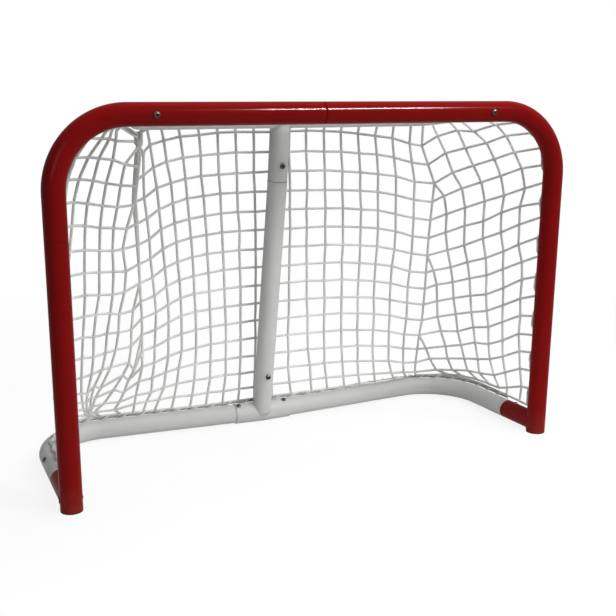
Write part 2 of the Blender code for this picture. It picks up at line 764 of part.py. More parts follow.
def net_panel(name, surface, columns, rows):
    """A knotted mesh of square gaps as one closed lattice on a surface of (u, v)."""

    def frame_at(u, v):
        step = 0.01
        u_low, u_high = max(0.0, u - step), min(1.0, u + step)
        v_low, v_high = max(0.0, v - step), min(1.0, v + step)
        along = (surface(u_high, v) - surface(u_low, v)).normalized()
        up = (surface(u, v_high) - surface(u, v_low)).normalized()
        return surface(u, v), along.cross(up).normalized()

    bm = bmesh.new()

    def pair(point, normal):
        shift = normal * NET_HALF_THICKNESS
        return bm.verts.new(point + shift), bm.verts.new(point - shift)

    grid = {}
    for i in range(columns + 1):
        for j in range(rows + 1):
            grid[i, j] = pair(*frame_at(i / columns, j / rows))
    for i in range(columns):
        for j in range(rows):
            corners = [(i, j), (i + 1, j), (i + 1, j + 1), (i, j + 1)]
            places = [frame_at(a / columns, b / rows) for a, b in corners]
            inner = []
            for k in range(4):
                here, normal = places[k]
                after = (places[(k + 1) % 4][0] - here).normalized()
                before = (places[k - 1][0] - here).normalized()
                inner.append(pair(here + (after + before) * NET_STRAND_HALF, normal))
            outer = [grid[c] for c in corners]
            for k in range(4):
                n = (k + 1) % 4
                bm.faces.new((outer[k][0], outer[n][0], inner[n][0], inner[k][0]))
                bm.faces.new((outer[n][1], outer[k][1], inner[k][1], inner[n][1]))
                bm.faces.new((inner[k][0], inner[n][0], inner[n][1], inner[k][1]))
    rim = [(i, 0) for i in range(columns)] + [(columns, j) for j in range(rows)]
    rim += [(i, rows) for i in range(columns, 0, -1)] + [(0, j) for j in range(rows, 0, -1)]
    for k, here in enumerate(rim):
        after = rim[(k + 1) % len(rim)]
        bm.faces.new((grid[here][0], grid[here][1], grid[after][1], grid[after][0]))
    return add_mesh(name, bm, white_cord(name + "_cord"), smooth=False)


def cord(name, points, radius):
    """A plain round cord through the points."""
    curve = bpy.data.curves.new(name, "CURVE")
    curve.dimensions = "3D"
    curve.bevel_depth = radius
    curve.bevel_resolution = 2
    curve.use_fill_caps = True
    spline = curve.splines.new("POLY")
    spline.points.add(len(points) - 1)
    for slot, point in zip(spline.points, points):
        slot.co = (point[0], point[1] + FRONT_Y, point[2], 1.0)
    curve.materials.append(white_cord(name + "_cord"))
    made = bpy.data.objects.new(name, curve)
    bpy.context.scene.collection.objects.link(made)
    return made


def rope_point(point, along, side, radius):
    """Beside the point of a base tube's route, on its outer upper quarter."""
    away = along.cross(Z_AXIS) * side
    reach = (radius + LACE_RADIUS + 2 * GAP) * math.sqrt(0.5)
    return point + away * reach + Z_AXIS * reach


def make_base_rope():
    """Lies on the outer upper quarter of the base tubes and steps up over the tee.

    It starts in the left bend and ends near the right stub.
    """
    points = []
    before_tee, tee_edge, middle = ROPE_TEE_STEP
    for side, tee_end in ((-1, TEE_LEFT_X), (1, TEE_RIGHT_X)):
        route = base_route(side, ROPE_START_Y, tee_end + side * before_tee)
        if side < 0:
            route = [station for station in route if station[1].x > ROPE_LEFT_START_X]
        half = [rope_point(point, along, side, TUBE_RADIUS) for _, point, along in route]
        inwards = route[-1][2]
        for x in (tee_end + side * tee_edge, TEE_X + side * middle):
            half.append(rope_point(base_rear_point(side, x), inwards, side, TEE_RADIUS))
        points += half if side < 0 else half[::-1]
    cord("net_base_rope", points, LACE_RADIUS)


def make_post_cord(side):
    """Laces the net's front edge to the back of a post and its corner."""
    route = frame_corner_route(side, NET_POST_LOW_Z + POST_CORD_RISE, side * POST_CORD_END_X)
    behind = Y_AXIS * (TUBE_RADIUS + CORD_RADIUS + GAP)
    cord("net_post_cord_" + side_name(side), [point + behind for _, point, _ in route], CORD_RADIUS)


def make_crossbar_cord():
    reach = TUBE_RADIUS + CORD_RADIUS + 2 * GAP
    y = reach * math.cos(CROSSBAR_CORD_SLOPE)
    z = BAR_Z + reach * math.sin(CROSSBAR_CORD_SLOPE)
    start, end = CROSSBAR_CORD_ENDS
    cord("net_crossbar_cord", [(start, y, z), (0.0, y, z), (end, y, z)], CORD_RADIUS)


def build():
    clear_scene()
    for side in (-1, 1):
        make_post(side)
        make_corner(side)
        make_foot_cap(side)
        make_base_tube(side)
        make_bar_insert(side)
        make_crossbar_bolt(side)
        make_screws(side)
        make_post_cord(side)
    make_rear_tee()
    make_brace_tube()
    make_top_bar()
    make_brace_bolt("brace_upper", UPPER_BOLT_Z)
    make_brace_bolt("brace_lower", LOWER_BOLT_Z)
    net_panel("net_back", net_back_surface, BACK_COLUMNS, NET_ROWS)
    net_panel("net_left", net_side_surface(-1), SIDE_COLUMNS, NET_ROWS)
    net_panel("net_right", net_side_surface(1), SIDE_COLUMNS, NET_ROWS)
    net_panel("net_top", net_top_surface, TOP_COLUMNS, TOP_ROWS)
    make_base_rope()
    make_crossbar_cord()


build()
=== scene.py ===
import math
import random

import bmesh
import bpy
from mathutils import Matrix, Vector


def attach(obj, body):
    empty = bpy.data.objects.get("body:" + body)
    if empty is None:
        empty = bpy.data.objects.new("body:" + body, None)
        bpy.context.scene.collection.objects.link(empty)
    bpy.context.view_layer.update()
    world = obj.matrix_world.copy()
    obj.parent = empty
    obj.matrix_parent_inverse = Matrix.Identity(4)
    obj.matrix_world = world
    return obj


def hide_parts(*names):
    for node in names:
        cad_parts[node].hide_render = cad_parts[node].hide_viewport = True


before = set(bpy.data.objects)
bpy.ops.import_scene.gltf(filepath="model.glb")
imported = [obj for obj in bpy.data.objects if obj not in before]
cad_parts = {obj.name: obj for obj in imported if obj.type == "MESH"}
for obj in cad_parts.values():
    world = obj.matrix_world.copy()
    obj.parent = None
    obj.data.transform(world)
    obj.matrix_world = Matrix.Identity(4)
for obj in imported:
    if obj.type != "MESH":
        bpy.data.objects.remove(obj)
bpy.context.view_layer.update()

# Front frame
# Two posts, each with the socket stub of the base welded to its back, and two bent elbows that
# each carry half of the crossbar. Steel tube 35 mm across, bent, welded and painted a glossy
# deep red. The elbows push over necks on the posts and meet over a neck in the crossbar.

FRONT_Y = -0.1449
GOAL_WIDTH = 0.914
GOAL_HEIGHT = 0.610
TUBE_RADIUS = 0.0175
TUBE_WALL = 0.0015
POST_X = GOAL_WIDTH / 2 - TUBE_RADIUS
BAR_Z = GOAL_HEIGHT - TUBE_RADIUS
CORNER_BEND = 0.110
POST_SEAM_Z = 0.416
BAR_SEAM_X = -0.018
BAR_SEAM_OPEN = 0.0011
GAP = 0.0003
NECK_RADIUS = 0.0156
NECK_SHOWN = 0.012
EDGE_ROUNDING = 0.00035
EDGE_SUPPORT = 0.0012
CAP_FLANGE = 0.0013
BASE_Z = 0.0192
BASE_CORNER = (0.4305, 0.301)
SOCKET_START = 0.003
SOCKET_END = 0.087
WELD_RADIUS = 0.0013
WELD_RIPPLE = 0.0016
RED = (0.185, 0.0035, 0.0035)
X_AXIS = Vector((1.0, 0.0, 0.0))
Y_AXIS = Vector((0.0, 1.0, 0.0))
Z_AXIS = Vector((0.0, 0.0, 1.0))


def fill(tree, node, inputs):
    """Links each of the node's inputs, or gives it its value."""
    for name, value in inputs.items():
        if isinstance(value, bpy.types.NodeSocket):
            tree.links.new(value, node.inputs[name])
        else:
            node.inputs[name].default_value = value


def add_node(tree, kind, inputs=None, **settings):
    made = tree.nodes.new(kind)
    for name, value in settings.items():
        setattr(made, name, value)
    fill(tree, made, inputs or {})
    return made


def node_output(tree, kind, inputs=None, output=0, **settings):
    """One output of a new node."""
    return add_node(tree, kind, inputs, **settings).outputs[output]


def maths(tree, operation, *values):
    return node_output(tree, "ShaderNodeMath", dict(enumerate(values)), operation=operation)


def noise(tree, place, scale, detail=2.0):
    return node_output(tree, "ShaderNodeTexNoise", {"Vector": place, "Scale": scale, "Detail": detail})


def ranged(tree, value, from_min, from_max, to_min=0.0, to_max=1.0):
    """A value carried from one range to another."""
    spans = {"From Min": from_min, "From Max": from_max, "To Min": to_min, "To Max": to_max}
    return node_output(tree, "ShaderNodeMapRange", {"Value": value, **spans})


def blend(tree, share, first, second):
    """A colour between two colours, by a share."""
    return node_output(tree, "ShaderNodeMix", {0: share, 6: first, 7: second}, output=2, data_type="RGBA")


def new_group(name, kind, inputs, outputs):
    """An empty node group with named sockets, its inputs and its output node."""
    tree = bpy.data.node_groups.new(name, kind)
    for label, socket_kind, *value in inputs:
        socket = tree.interface.new_socket(label, in_out="INPUT", socket_type="NodeSocket" + socket_kind)
        if value:
            socket.default_value = value[0]
    for label, socket_kind in outputs:
        tree.interface.new_socket(label, in_out="OUTPUT", socket_type="NodeSocket" + socket_kind)
    return tree, tree.nodes.new("NodeGroupInput").outputs, tree.nodes.new("NodeGroupOutput")


def shape_group(name, inputs, output):
    """The same for a shape, with a function that ends it: instances made real, then the material."""
    tree, given, result = new_group(name, "GeometryNodeTree", inputs, [(output, "Geometry")])

    def end(shape, surface):
        real = node_output(tree, "GeometryNodeRealizeInstances", {"Geometry": shape})
        covered = node_output(tree, "GeometryNodeSetMaterial", {"Geometry": real, "Material": surface})
        fill(tree, result, {output: covered})
        return tree

    return tree, given, end


def paint_skin_group():
    """Sprayed gloss paint: faint mottling and orange peel, hairline rubs, dust near the floor."""
    tree, given, result = new_group(
        "paint skin", "ShaderNodeTree",
        [
            ("Paint", "Color", (0.5, 0.5, 0.5, 1.0)), ("Rub Colour", "Color", (0.5, 0.5, 0.5, 1.0)),
            ("Rub Amount", "Float", 0.3), ("Mottle", "Float", 0.06), ("Dust", "Float", 0.2),
            ("Gloss Roughness", "Float", 0.2), ("Place", "Vector", (0.0, 0.0, 0.0))
        ],
        [("Colour", "Color"), ("Roughness", "Float"), ("Height", "Float")]
    )
    place = given["Place"]
    swing = maths(tree, "SUBTRACT", noise(tree, place, 11.0, 3.0), 0.5)
    depth = maths(tree, "MULTIPLY_ADD", swing, given["Mottle"], 1.0)
    toned = node_output(
        tree, "ShaderNodeVectorMath", {0: given["Paint"], "Scale": depth}, operation="SCALE"
    )
    stretched = node_output(tree, "ShaderNodeMapping", {"Vector": place, "Scale": (60.0, 60.0, 900.0)})
    crossed = node_output(tree, "ShaderNodeMapping", {"Vector": place, "Scale": (45.0, 900.0, 700.0)})
    both = maths(tree, "MAXIMUM", noise(tree, stretched, 5.0), noise(tree, crossed, 5.0))
    where = ranged(tree, noise(tree, place, 28.0), 0.52, 0.68)
    rubs = maths(tree, "MULTIPLY", ranged(tree, both, 0.7, 0.76), where)
    rub = maths(tree, "MULTIPLY", rubs, given["Rub Amount"])
    low = ranged(tree, node_output(tree, "ShaderNodeSeparateXYZ", {0: place}, output="Z"), 0.05, 0.0)
    settled = maths(tree, "MULTIPLY", low, noise(tree, place, 90.0, 4.0))
    dust = maths(tree, "MULTIPLY", settled, given["Dust"])
    dusty = blend(tree, dust, blend(tree, rub, toned, given["Rub Colour"]), (0.36, 0.33, 0.29, 1.0))
    matt = maths(tree, "MULTIPLY_ADD", rub, 0.35, given["Gloss Roughness"])
    duller = maths(tree, "MULTIPLY_ADD", dust, 0.5, matt)
    sunk = maths(tree, "MULTIPLY_ADD", rub, -0.5, noise(tree, place, 420.0, 1.0))
    fill(tree, result, {"Colour": dusty, "Roughness": duller, "Height": sunk})
    return tree


paint_skin = paint_skin_group()


def new_material(name):
    """A material, its tree, its shader and the place on the object."""
    made = bpy.data.materials.new(name)
    made.use_nodes = True
    tree = made.node_tree
    place = node_output(tree, "ShaderNodeTexCoord", output="Object")
    return made, tree, tree.nodes["Principled BSDF"], place


def painted(name, colour, rub_colour, rub, mottle, dust, roughness, specular, coat):
    """A painted metal surface with the paint skin's own amounts."""
    made, tree, shader, place = new_material(name)
    amounts = {
        "Place": place, "Paint": (*colour, 1.0), "Rub Colour": (*rub_colour, 1.0), "Rub Amount": rub,
        "Mottle": mottle, "Dust": dust, "Gloss Roughness": roughness
    }
    skin = add_node(tree, "ShaderNodeGroup", amounts, node_tree=paint_skin)
    bump = node_output(
        tree, "ShaderNodeBump", {"Height": skin.outputs["Height"], "Strength": 0.12, "Distance": 0.0004}
    )
    fill(
        tree, shader,
        {
            "Base Color": skin.outputs["Colour"], "Roughness": skin.outputs["Roughness"], "Normal": bump,
            "Specular IOR Level": specular, "Coat Weight": coat, "Coat Roughness": 0.06
        }
    )
    return made


red_paint = painted("red gloss paint", RED, (0.45, 0.06, 0.05), 0.25, 0.14, 0.08, 0.12, 0.06, 0.0)


def on_circle(first, second, angle):
    return first * math.cos(angle) + second * math.sin(angle)


def rounded_line(corners, bend, step=math.radians(2.5)):
    """Straight lines through the corners, joined by arcs of the radius bend."""
    points = [Vector(corner) for corner in corners]
    line = [points[0]]
    for before, corner, after in zip(points, points[1:], points[2:]):
        arriving = (corner - before).normalized()
        leaving = (after - corner).normalized()
        turn = arriving.angle(leaving)
        centre = corner + (leaving - arriving).normalized() * (bend / math.cos(turn / 2))
        outward = arriving.cross(leaving).normalized().cross(arriving) * -1.0
        steps = max(2, math.ceil(turn / step))
        for number in range(steps + 1):
            angle = turn * number / steps
            line.append(centre + on_circle(outward, arriving, angle) * bend)
    line.append(points[-1])
    return line


def new_object(name, data):
    made = bpy.data.objects.new(name, data)
    bpy.context.scene.collection.objects.link(made)
    return made


def line_object(name, lines, closed=False, values=None):
    """Edges along the lines, moved into the row frame, with any named values at their points."""
    mesh = bpy.data.meshes.new(name)
    points = []
    edges = []
    for line in lines:
        first = len(points)
        points += [(x, y + FRONT_Y, z) for x, y, z in line]
        edges += [(number, number + 1) for number in range(first, len(points) - 1)]
        if closed:
            edges.append((len(points) - 1, first))
    mesh.from_pydata(points, edges, [])
    for label, (kind, numbers) in (values or {}).items():
        attribute = mesh.attributes.new(label, kind, "POINT")
        for item, number in zip(attribute.data, numbers):
            if kind == "FLOAT_VECTOR":
                item.vector = number
            else:
                item.value = number
    return new_object(name, mesh)


def use_tree(piece, tree, values):
    """Adds the Geometry Nodes tree and sets its inputs by their identifiers."""
    change = piece.modifiers.new(tree.name, "NODES")
    change.node_group = tree
    for item in tree.interface.items_tree:
        if item.item_type == "SOCKET" and item.in_out == "INPUT" and item.name in values:
            change[item.identifier] = values[item.name]
    return change


def plain_mesh(piece):
    """Turns a piece with modifiers into a plain mesh."""
    bpy.context.view_layer.update()
    graph = bpy.context.evaluated_depsgraph_get()
    mesh = bpy.data.meshes.new_from_object(
        piece.evaluated_get(graph), preserve_all_data_layers=True, depsgraph=graph
    )
    old = piece.data
    piece.modifiers.clear()
    piece.data = mesh
    bpy.data.meshes.remove(old)
    return piece


def tube_tree():
    tree, given, end = shape_group(
        "tube along a line",
        [("Line", "Geometry"), ("Radius", "Float", 0.0175), ("Sides", "Int", 48), ("Paint", "Material")],
        "Tube"
    )
    curve = node_output(tree, "GeometryNodeMeshToCurve", {"Mesh": given["Line"]})
    ring = node_output(
        tree, "GeometryNodeCurvePrimitiveCircle", {"Resolution": given["Sides"], "Radius": given["Radius"]}
    )
    wall = node_output(tree, "GeometryNodeCurveToMesh", {"Curve": curve, "Profile Curve": ring})
    return end(wall, given["Paint"])


tube_along = tube_tree()


def tube(name, line, paint, radius=TUBE_RADIUS, wall=TUBE_WALL, sides=48):
    """A hollow tube with rounded ends along a line."""
    line = [Vector(point) for point in line]
    for place, end, inner in ((1, line[0], line[1]), (-1, line[-1], line[-2])):
        line.insert(place, end + (inner - end).normalized() * EDGE_SUPPORT)
    piece = line_object(name, [line])
    use_tree(piece, tube_along, {"Radius": radius, "Sides": sides, "Paint": paint})
    shell = piece.modifiers.new("wall", "SOLIDIFY")
    shell.thickness = wall
    shell.offset = -1.0
    rounding = piece.modifiers.new("ends", "BEVEL")
    rounding.width = EDGE_ROUNDING
    rounding.segments = 2
    rounding.limit_method = "ANGLE"
    rounding.angle_limit = math.radians(60.0)
    return plain_mesh(piece)


def meeting_line(start, direction, radius, axis_point, axis, axis_radius, steps=72):
    """Where a tube that leaves start along direction comes out of a round tube about the axis."""
    across = direction.cross(axis).normalized()
    upright = across.cross(direction)
    line = []
    for number in range(steps):
        angle = 2 * math.pi * number / steps
        edge = start + on_circle(across, upright, angle) * radius
        offset = edge - axis_point
        offset -= axis * offset.dot(axis)
        travel = direction - axis * direction.dot(axis)
        half = offset.dot(travel)
        square = travel.dot(travel)
        inside = max(0.0, half * half - square * (offset.dot(offset) - axis_radius**2))
        line.append(edge + direction * ((math.sqrt(inside) - half) / square))
    return line


def weld_tree():
    tree, given, end = shape_group(
        "weld bead",
        [
            ("Joint", "Geometry"), ("Radius", "Float", 0.0013),
            ("Ripple", "Float", 0.0016), ("Paint", "Material")
        ],
        "Bead"
    )
    curve = node_output(tree, "GeometryNodeMeshToCurve", {"Mesh": given["Joint"]})
    finer = node_output(tree, "GeometryNodeResampleCurve", {"Curve": curve, "Count": 260})
    along = node_output(tree, "GeometryNodeSplineParameter", output="Length")
    angle = maths(tree, "MULTIPLY", maths(tree, "DIVIDE", along, given["Ripple"]), 2 * math.pi)
    swell = maths(tree, "MULTIPLY_ADD", maths(tree, "SINE", angle), 0.12, 1.0)
    ring = node_output(
        tree, "GeometryNodeCurvePrimitiveCircle", {"Resolution": 8, "Radius": given["Radius"]}
    )
    bead = node_output(
        tree, "GeometryNodeCurveToMesh", {"Curve": finer, "Profile Curve": ring, "Scale": swell}
    )
    return end(bead, given["Paint"])


weld_bead = weld_tree()


def weld(name, joint, paint):
    piece = line_object(name, [joint], closed=True)
    use_tree(piece, weld_bead, {"Radius": WELD_RADIUS, "Ripple": WELD_RIPPLE, "Paint": paint})
    return plain_mesh(piece)


def fitted(name, pieces, slot, *nodes):
    """Joins the pieces of one part and puts it in the place of its CAD nodes."""
    part = pieces[0]
    if len(pieces) > 1:
        with bpy.context.temp_override(active_object=part, selected_editable_objects=pieces):
            bpy.ops.object.join()
    part.name = name
    part.data.name = name
    part.data.shade_smooth()
    part.data.set_sharp_from_angle(angle=math.radians(38.0))
    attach(part, "root")
    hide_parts(*nodes)
    return part


def side_name(side):
    return "left" if side < 0 else "right"


def base_side_direction(side):
    return Vector((side * (BASE_CORNER[0] - POST_X), BASE_CORNER[1], 0.0)).normalized()


def base_side_point(side, distance):
    return Vector((side * POST_X, 0.0, BASE_Z)) + base_side_direction(side) * distance


for side in (-1, 1):
    label = side_name(side)
    post_x = side * POST_X
    away = base_side_direction(side)
    foot = (post_x, 0.0, CAP_FLANGE + GAP)
    seam = (post_x, 0.0, POST_SEAM_Z)
    neck = [(post_x, 0.0, POST_SEAM_Z - NECK_SHOWN), (post_x, 0.0, POST_SEAM_Z + NECK_SHOWN)]
    stub = [base_side_point(side, SOCKET_START), base_side_point(side, SOCKET_END)]
    joint = meeting_line(
        Vector((post_x, 0.0, BASE_Z)), away, TUBE_RADIUS, Vector(foot), Z_AXIS, TUBE_RADIUS
    )
    fitted(
        label + "_post_painted",
        [
            tube(label + "_post_tube", [foot, seam], red_paint),
            tube(label + "_post_neck", neck, red_paint, NECK_RADIUS),
            tube(label + "_stub", stub, red_paint), weld(label + "_stub_weld", joint, red_paint)
        ],
        "red_paint", label + "_post"
    )
    bar_end = BAR_SEAM_X if side < 0 else BAR_SEAM_X + BAR_SEAM_OPEN
    elbow = rounded_line(
        [(post_x, 0.0, POST_SEAM_Z + GAP), (post_x, 0.0, BAR_Z), (bar_end, 0.0, BAR_Z)], CORNER_BEND
    )
    pieces = [tube(label + "_elbow", elbow, red_paint, sides=64)]
    if side < 0:
        neck = [(BAR_SEAM_X - NECK_SHOWN, 0.0, BAR_Z), (BAR_SEAM_X + NECK_SHOWN, 0.0, BAR_Z)]
        pieces.append(tube("bar_neck", neck, red_paint, NECK_RADIUS))
    fitted(label + "_corner_painted", pieces, "red_paint", label + "_corner")

# Foot caps
# Black plastic plugs pushed into the lower ends of the posts. The flange carries the goal on the
# floor and has a rounded rim and a shallow hollow below.

CAP_EDGE = 0.0005
CAP_PLUG = 0.014
BLACK = (0.012, 0.012, 0.013)


def moulded_black():
    made, tree, shader, place = new_material("black moulded plastic")
    grain = noise(tree, place, 700.0)
    tone = ranged(tree, grain, 0.0, 1.0, 0.42, 0.62)
    shade = blend(tree, grain, (*BLACK, 1.0), (0.022, 0.021, 0.021, 1.0))
    bump = node_output(tree, "ShaderNodeBump", {"Height": grain, "Strength": 0.3, "Distance": 0.0002})
    fill(tree, shader, {"Base Color": shade, "Roughness": tone, "Normal": bump, "Specular IOR Level": 0.25})
    return made


black_plastic = moulded_black()


def finished_mesh(bm, name):
    bmesh.ops.recalc_face_normals(bm, faces=bm.faces)
    mesh = bpy.data.meshes.new(name)
    bm.to_mesh(mesh)
    bm.free()
    return mesh


def turned(name, rings, start, direction, surface, sides=48):
    """A closed solid about an axis. Each ring is (height, radius), and the radius may be a
    function of the angle."""
    towards = Vector(direction).normalized()
    first = towards.orthogonal().normalized()
    second = towards.cross(first)
    origin = Vector(start) + Y_AXIS * FRONT_Y
    bm = bmesh.new()
    made = []
    for height, radius in rings:
        ring = []
        for number in range(sides):
            angle = 2 * math.pi * number / sides
            reach = radius(angle) if callable(radius) else radius
            outward = on_circle(first, second, angle)
            ring.append(bm.verts.new(origin + towards * height + outward * reach))
        made.append(ring)
    for ring, after in zip(made, made[1:]):
        for number in range(sides):
            onward = (number + 1) % sides
            bm.faces.new((ring[number], ring[onward], after[onward], after[number]))
    bm.faces.new(made[0])
    bm.faces.new(made[-1])
    mesh = finished_mesh(bm, name)
    mesh.materials.append(surface)
    return new_object(name, mesh)


for side in (-1, 1):
    label = side_name(side)
    rings = [
        (0.0004, 0.0085), (0.0004, 0.0120), (0.0, 0.0126), (0.0, TUBE_RADIUS - CAP_EDGE),
        (CAP_EDGE * 0.3, TUBE_RADIUS - CAP_EDGE * 0.3), (CAP_EDGE, TUBE_RADIUS),
        (CAP_FLANGE - 0.0002, TUBE_RADIUS), (CAP_FLANGE, TUBE_RADIUS - 0.0002), (CAP_FLANGE, NECK_RADIUS),
        (CAP_PLUG, NECK_RADIUS - 0.0006), (CAP_PLUG, NECK_RADIUS - 0.0030), (0.0030, NECK_RADIUS - 0.0034),
        (0.0030, 0.0020)
    ]
    cap = turned(label + "_cap", rings, (side * POST_X, 0.0, 0.0), Z_AXIS, black_plastic)
    fitted(label + "_cap_moulded", [cap], "black_plastic", label + "_foot_cap")

# Base tubes
# Two white painted steel tubes, 35 mm across. Each has a neck in the post's socket, runs back
# along the floor, turns through a wide bend and ends under the sleeve of the rear tee.

BASE_BEND = 0.1085
TEE_X = -0.0095
TEE_Y = 0.272
RAIL_END_GAP = 0.003
WHITE = (0.54, 0.545, 0.535)

white_paint = painted("white gloss paint", WHITE, (0.42, 0.42, 0.41), 0.30, 0.08, 0.30, 0.35, 0.05, 0.0)


def base_rear_point(side, x):
    share = (x - TEE_X) / (side * BASE_CORNER[0] - TEE_X)
    return Vector((x, TEE_Y + (BASE_CORNER[1] - TEE_Y) * share, BASE_Z))


def base_line(side, start, end_x):
    corner = (side * BASE_CORNER[0], BASE_CORNER[1], BASE_Z)
    return rounded_line([base_side_point(side, start), corner, base_rear_point(side, end_x)], BASE_BEND)


for side in (-1, 1):
    label = side_name(side)
    run = base_line(side, SOCKET_END + GAP, TEE_X + side * RAIL_END_GAP)
    neck = [base_side_point(side, SOCKET_END - NECK_SHOWN), base_side_point(side, SOCKET_END + NECK_SHOWN)]
    fitted(
        label + "_base_painted",
        [
            tube(label + "_base", run, white_paint, sides=64),
            tube(label + "_base_neck", neck, white_paint, NECK_RADIUS)
        ],
        "white_paint", label + "_base_tube"
    )

# Rear tee
# A slightly bent steel sleeve that joins the two base tubes at the back, with the short upstand
# of the brace welded on top. White paint, flowed over the weld.

TEE_RADIUS = 0.0192
SLEEVE_BORE = 0.0179
TEE_LEFT_X = -0.065
TEE_RIGHT_X = 0.046
TEE_BEND = 0.020
BRACE_X = -0.011
BRACE_TOP = (0.1800, 0.559)
BRACE_KINK = (0.1922, 0.462)
BRACE_LOW = (0.2600, 0.069)
UPSTAND_TOP_Z = 0.068
UPSTAND_START_RISE = 0.004


def brace_point(z):
    """The middle line of the brace, which has a slight kink."""
    high, low = (BRACE_TOP, BRACE_KINK) if z > BRACE_KINK[1] else (BRACE_KINK, BRACE_LOW)
    share = (z - low[1]) / (high[1] - low[1])
    return Vector((BRACE_X, low[0] + (high[0] - low[0]) * share, z))


tee_line = rounded_line(
    [base_rear_point(-1, TEE_LEFT_X), (TEE_X, TEE_Y, BASE_Z), base_rear_point(1, TEE_RIGHT_X)], TEE_BEND
)
upstand_start = brace_point(BASE_Z + UPSTAND_START_RISE)
upstand_top = brace_point(UPSTAND_TOP_Z)
upstand_rise = (upstand_top - upstand_start).normalized()
upstand_joint = meeting_line(
    upstand_start, upstand_rise, TUBE_RADIUS, Vector((TEE_X, TEE_Y, BASE_Z)), X_AXIS, TEE_RADIUS
)
fitted(
    "rear_tee_painted",
    [
        tube("tee_sleeve", tee_line, white_paint, TEE_RADIUS, TEE_RADIUS - SLEEVE_BORE, sides=64),
        tube("tee_upstand", [upstand_start, upstand_top], white_paint),
        tube(
            "tee_neck", [brace_point(UPSTAND_TOP_Z - NECK_SHOWN), brace_point(UPSTAND_TOP_Z + NECK_SHOWN)],
            white_paint, NECK_RADIUS
        ),
        weld("tee_weld", upstand_joint, white_paint)
    ],
    "white_paint", "rear_tee"
)

# Middle brace
# One white painted steel tube from the rear tee up to the top bar, bent slightly near its top.
# It sits over the tee's neck, and its own neck goes up into the stub under the top bar. A rolled
# lip stands at the shoulder of that neck.

STUB_LOW_Z = 0.472
BRACE_BEND = 0.300
LIP_HEIGHT = 0.0034
SHOULDER_GAP = 0.0009
LIP_RADIUS = TUBE_RADIUS + 0.0004

brace_shoulder = brace_point(STUB_LOW_Z - SHOULDER_GAP)
brace_line = rounded_line(
    [brace_shoulder, brace_point(BRACE_KINK[1]), brace_point(UPSTAND_TOP_Z + GAP)], BRACE_BEND, step=0.01
)
fitted(
    "brace_painted",
    [
        tube("brace", brace_line, white_paint, sides=64),
        tube(
            "brace_lip", [brace_shoulder, brace_point(STUB_LOW_Z - SHOULDER_GAP - LIP_HEIGHT)], white_paint,
            LIP_RADIUS, sides=64
        ),
        tube(
            "brace_neck", [brace_point(STUB_LOW_Z + NECK_SHOWN), brace_point(STUB_LOW_Z - 0.005)],
            white_paint, NECK_RADIUS
        )
    ],
    "white_paint", "brace_tube"
)

# Top bar
# A flat U of thin white tube behind the crossbar that spreads the net, with a stub for the brace
# welded under its middle. Its ends are plugged with threaded inserts for the crossbar bolts.

TOP_BAR_RADIUS = 0.0127
TOP_BAR_BEND = 0.035
TOP_BAR_END_Y = 0.0198
TOP_BAR_REAR = (0.172, 0.575)
TOP_BAR_LEFT_X = -0.2725
TOP_BAR_RIGHT_X = 0.277
LEFT_BOLT_X = -0.290
RIGHT_BOLT_X = 0.294
STUB_TOP_Z = 0.568
LID_SUNK = 0.0012
INSERT_RADIUS = 0.0108
INSERT_LENGTH = 0.016
# The zinc colour is far darker than bright zinc plate: painted shade standing in for the dark surroundings
# that the heads reflect.
ZINC_SHADED = (0.10, 0.096, 0.092)

top_bar_line = rounded_line(
    [
        (LEFT_BOLT_X, TOP_BAR_END_Y, BAR_Z), (TOP_BAR_LEFT_X, *TOP_BAR_REAR),
        (TOP_BAR_RIGHT_X, *TOP_BAR_REAR), (RIGHT_BOLT_X, TOP_BAR_END_Y, BAR_Z)
    ],
    TOP_BAR_BEND
)
stub_top = brace_point(STUB_TOP_Z)
stub_low = brace_point(STUB_LOW_Z)
stub_rise = (stub_top - stub_low).normalized()
lid = turned(
    "stub_lid",
    [
        (0.0, NECK_RADIUS), (0.0, TUBE_RADIUS - EDGE_ROUNDING), (0.0008, TUBE_RADIUS),
        (0.0016, TUBE_RADIUS - 0.0006), (0.0022, TUBE_RADIUS - 0.0024), (0.0024, 0.0100)
    ],
    stub_top - stub_rise * LID_SUNK, stub_rise, white_paint, sides=64
)
bar_middle = Vector((BRACE_X, *TOP_BAR_REAR))
pieces = [
    tube("top_bar_tube", top_bar_line, white_paint, TOP_BAR_RADIUS),
    tube("top_bar_stub", [stub_low, stub_top], white_paint, sides=64), lid
]
for side in (-1, 1):
    joint = meeting_line(bar_middle, X_AXIS * side, TOP_BAR_RADIUS, stub_low, stub_rise, TUBE_RADIUS)
    pieces.append(weld("stub_weld_" + side_name(side), joint, white_paint))
fitted("top_bar_painted", pieces, "white_paint", "top_bar")


def plated(name, colour):
    """Dull zinc plate: faint blotches, fine turning marks, and painted shade in the recesses."""
    made, tree, shader, place = new_material(name)
    blotch = noise(tree, place, 260.0, 3.0)
    shade = blend(
        tree, blotch, (*(0.8 * part for part in colour), 1.0), (*(1.2 * part for part in colour), 1.0)
    )
    # Painted shade: the marked recess of each head is darkened to near black, where shade falls.
    recess = node_output(tree, "ShaderNodeAttribute", output="Fac", attribute_name="recess")
    recess_shaded = blend(tree, recess, shade, (0.012, 0.011, 0.01, 1.0))
    dull = ranged(tree, blotch, 0.0, 1.0, 0.28, 0.48)
    marks = noise(tree, place, 2600.0, 1.0)
    bump = node_output(tree, "ShaderNodeBump", {"Height": marks, "Strength": 0.25, "Distance": 0.0001})
    fill(tree, shader, {"Base Color": recess_shaded, "Roughness": dull, "Normal": bump, "Metallic": 0.9})
    return made


zinc = plated("zinc plate", ZINC_SHADED)

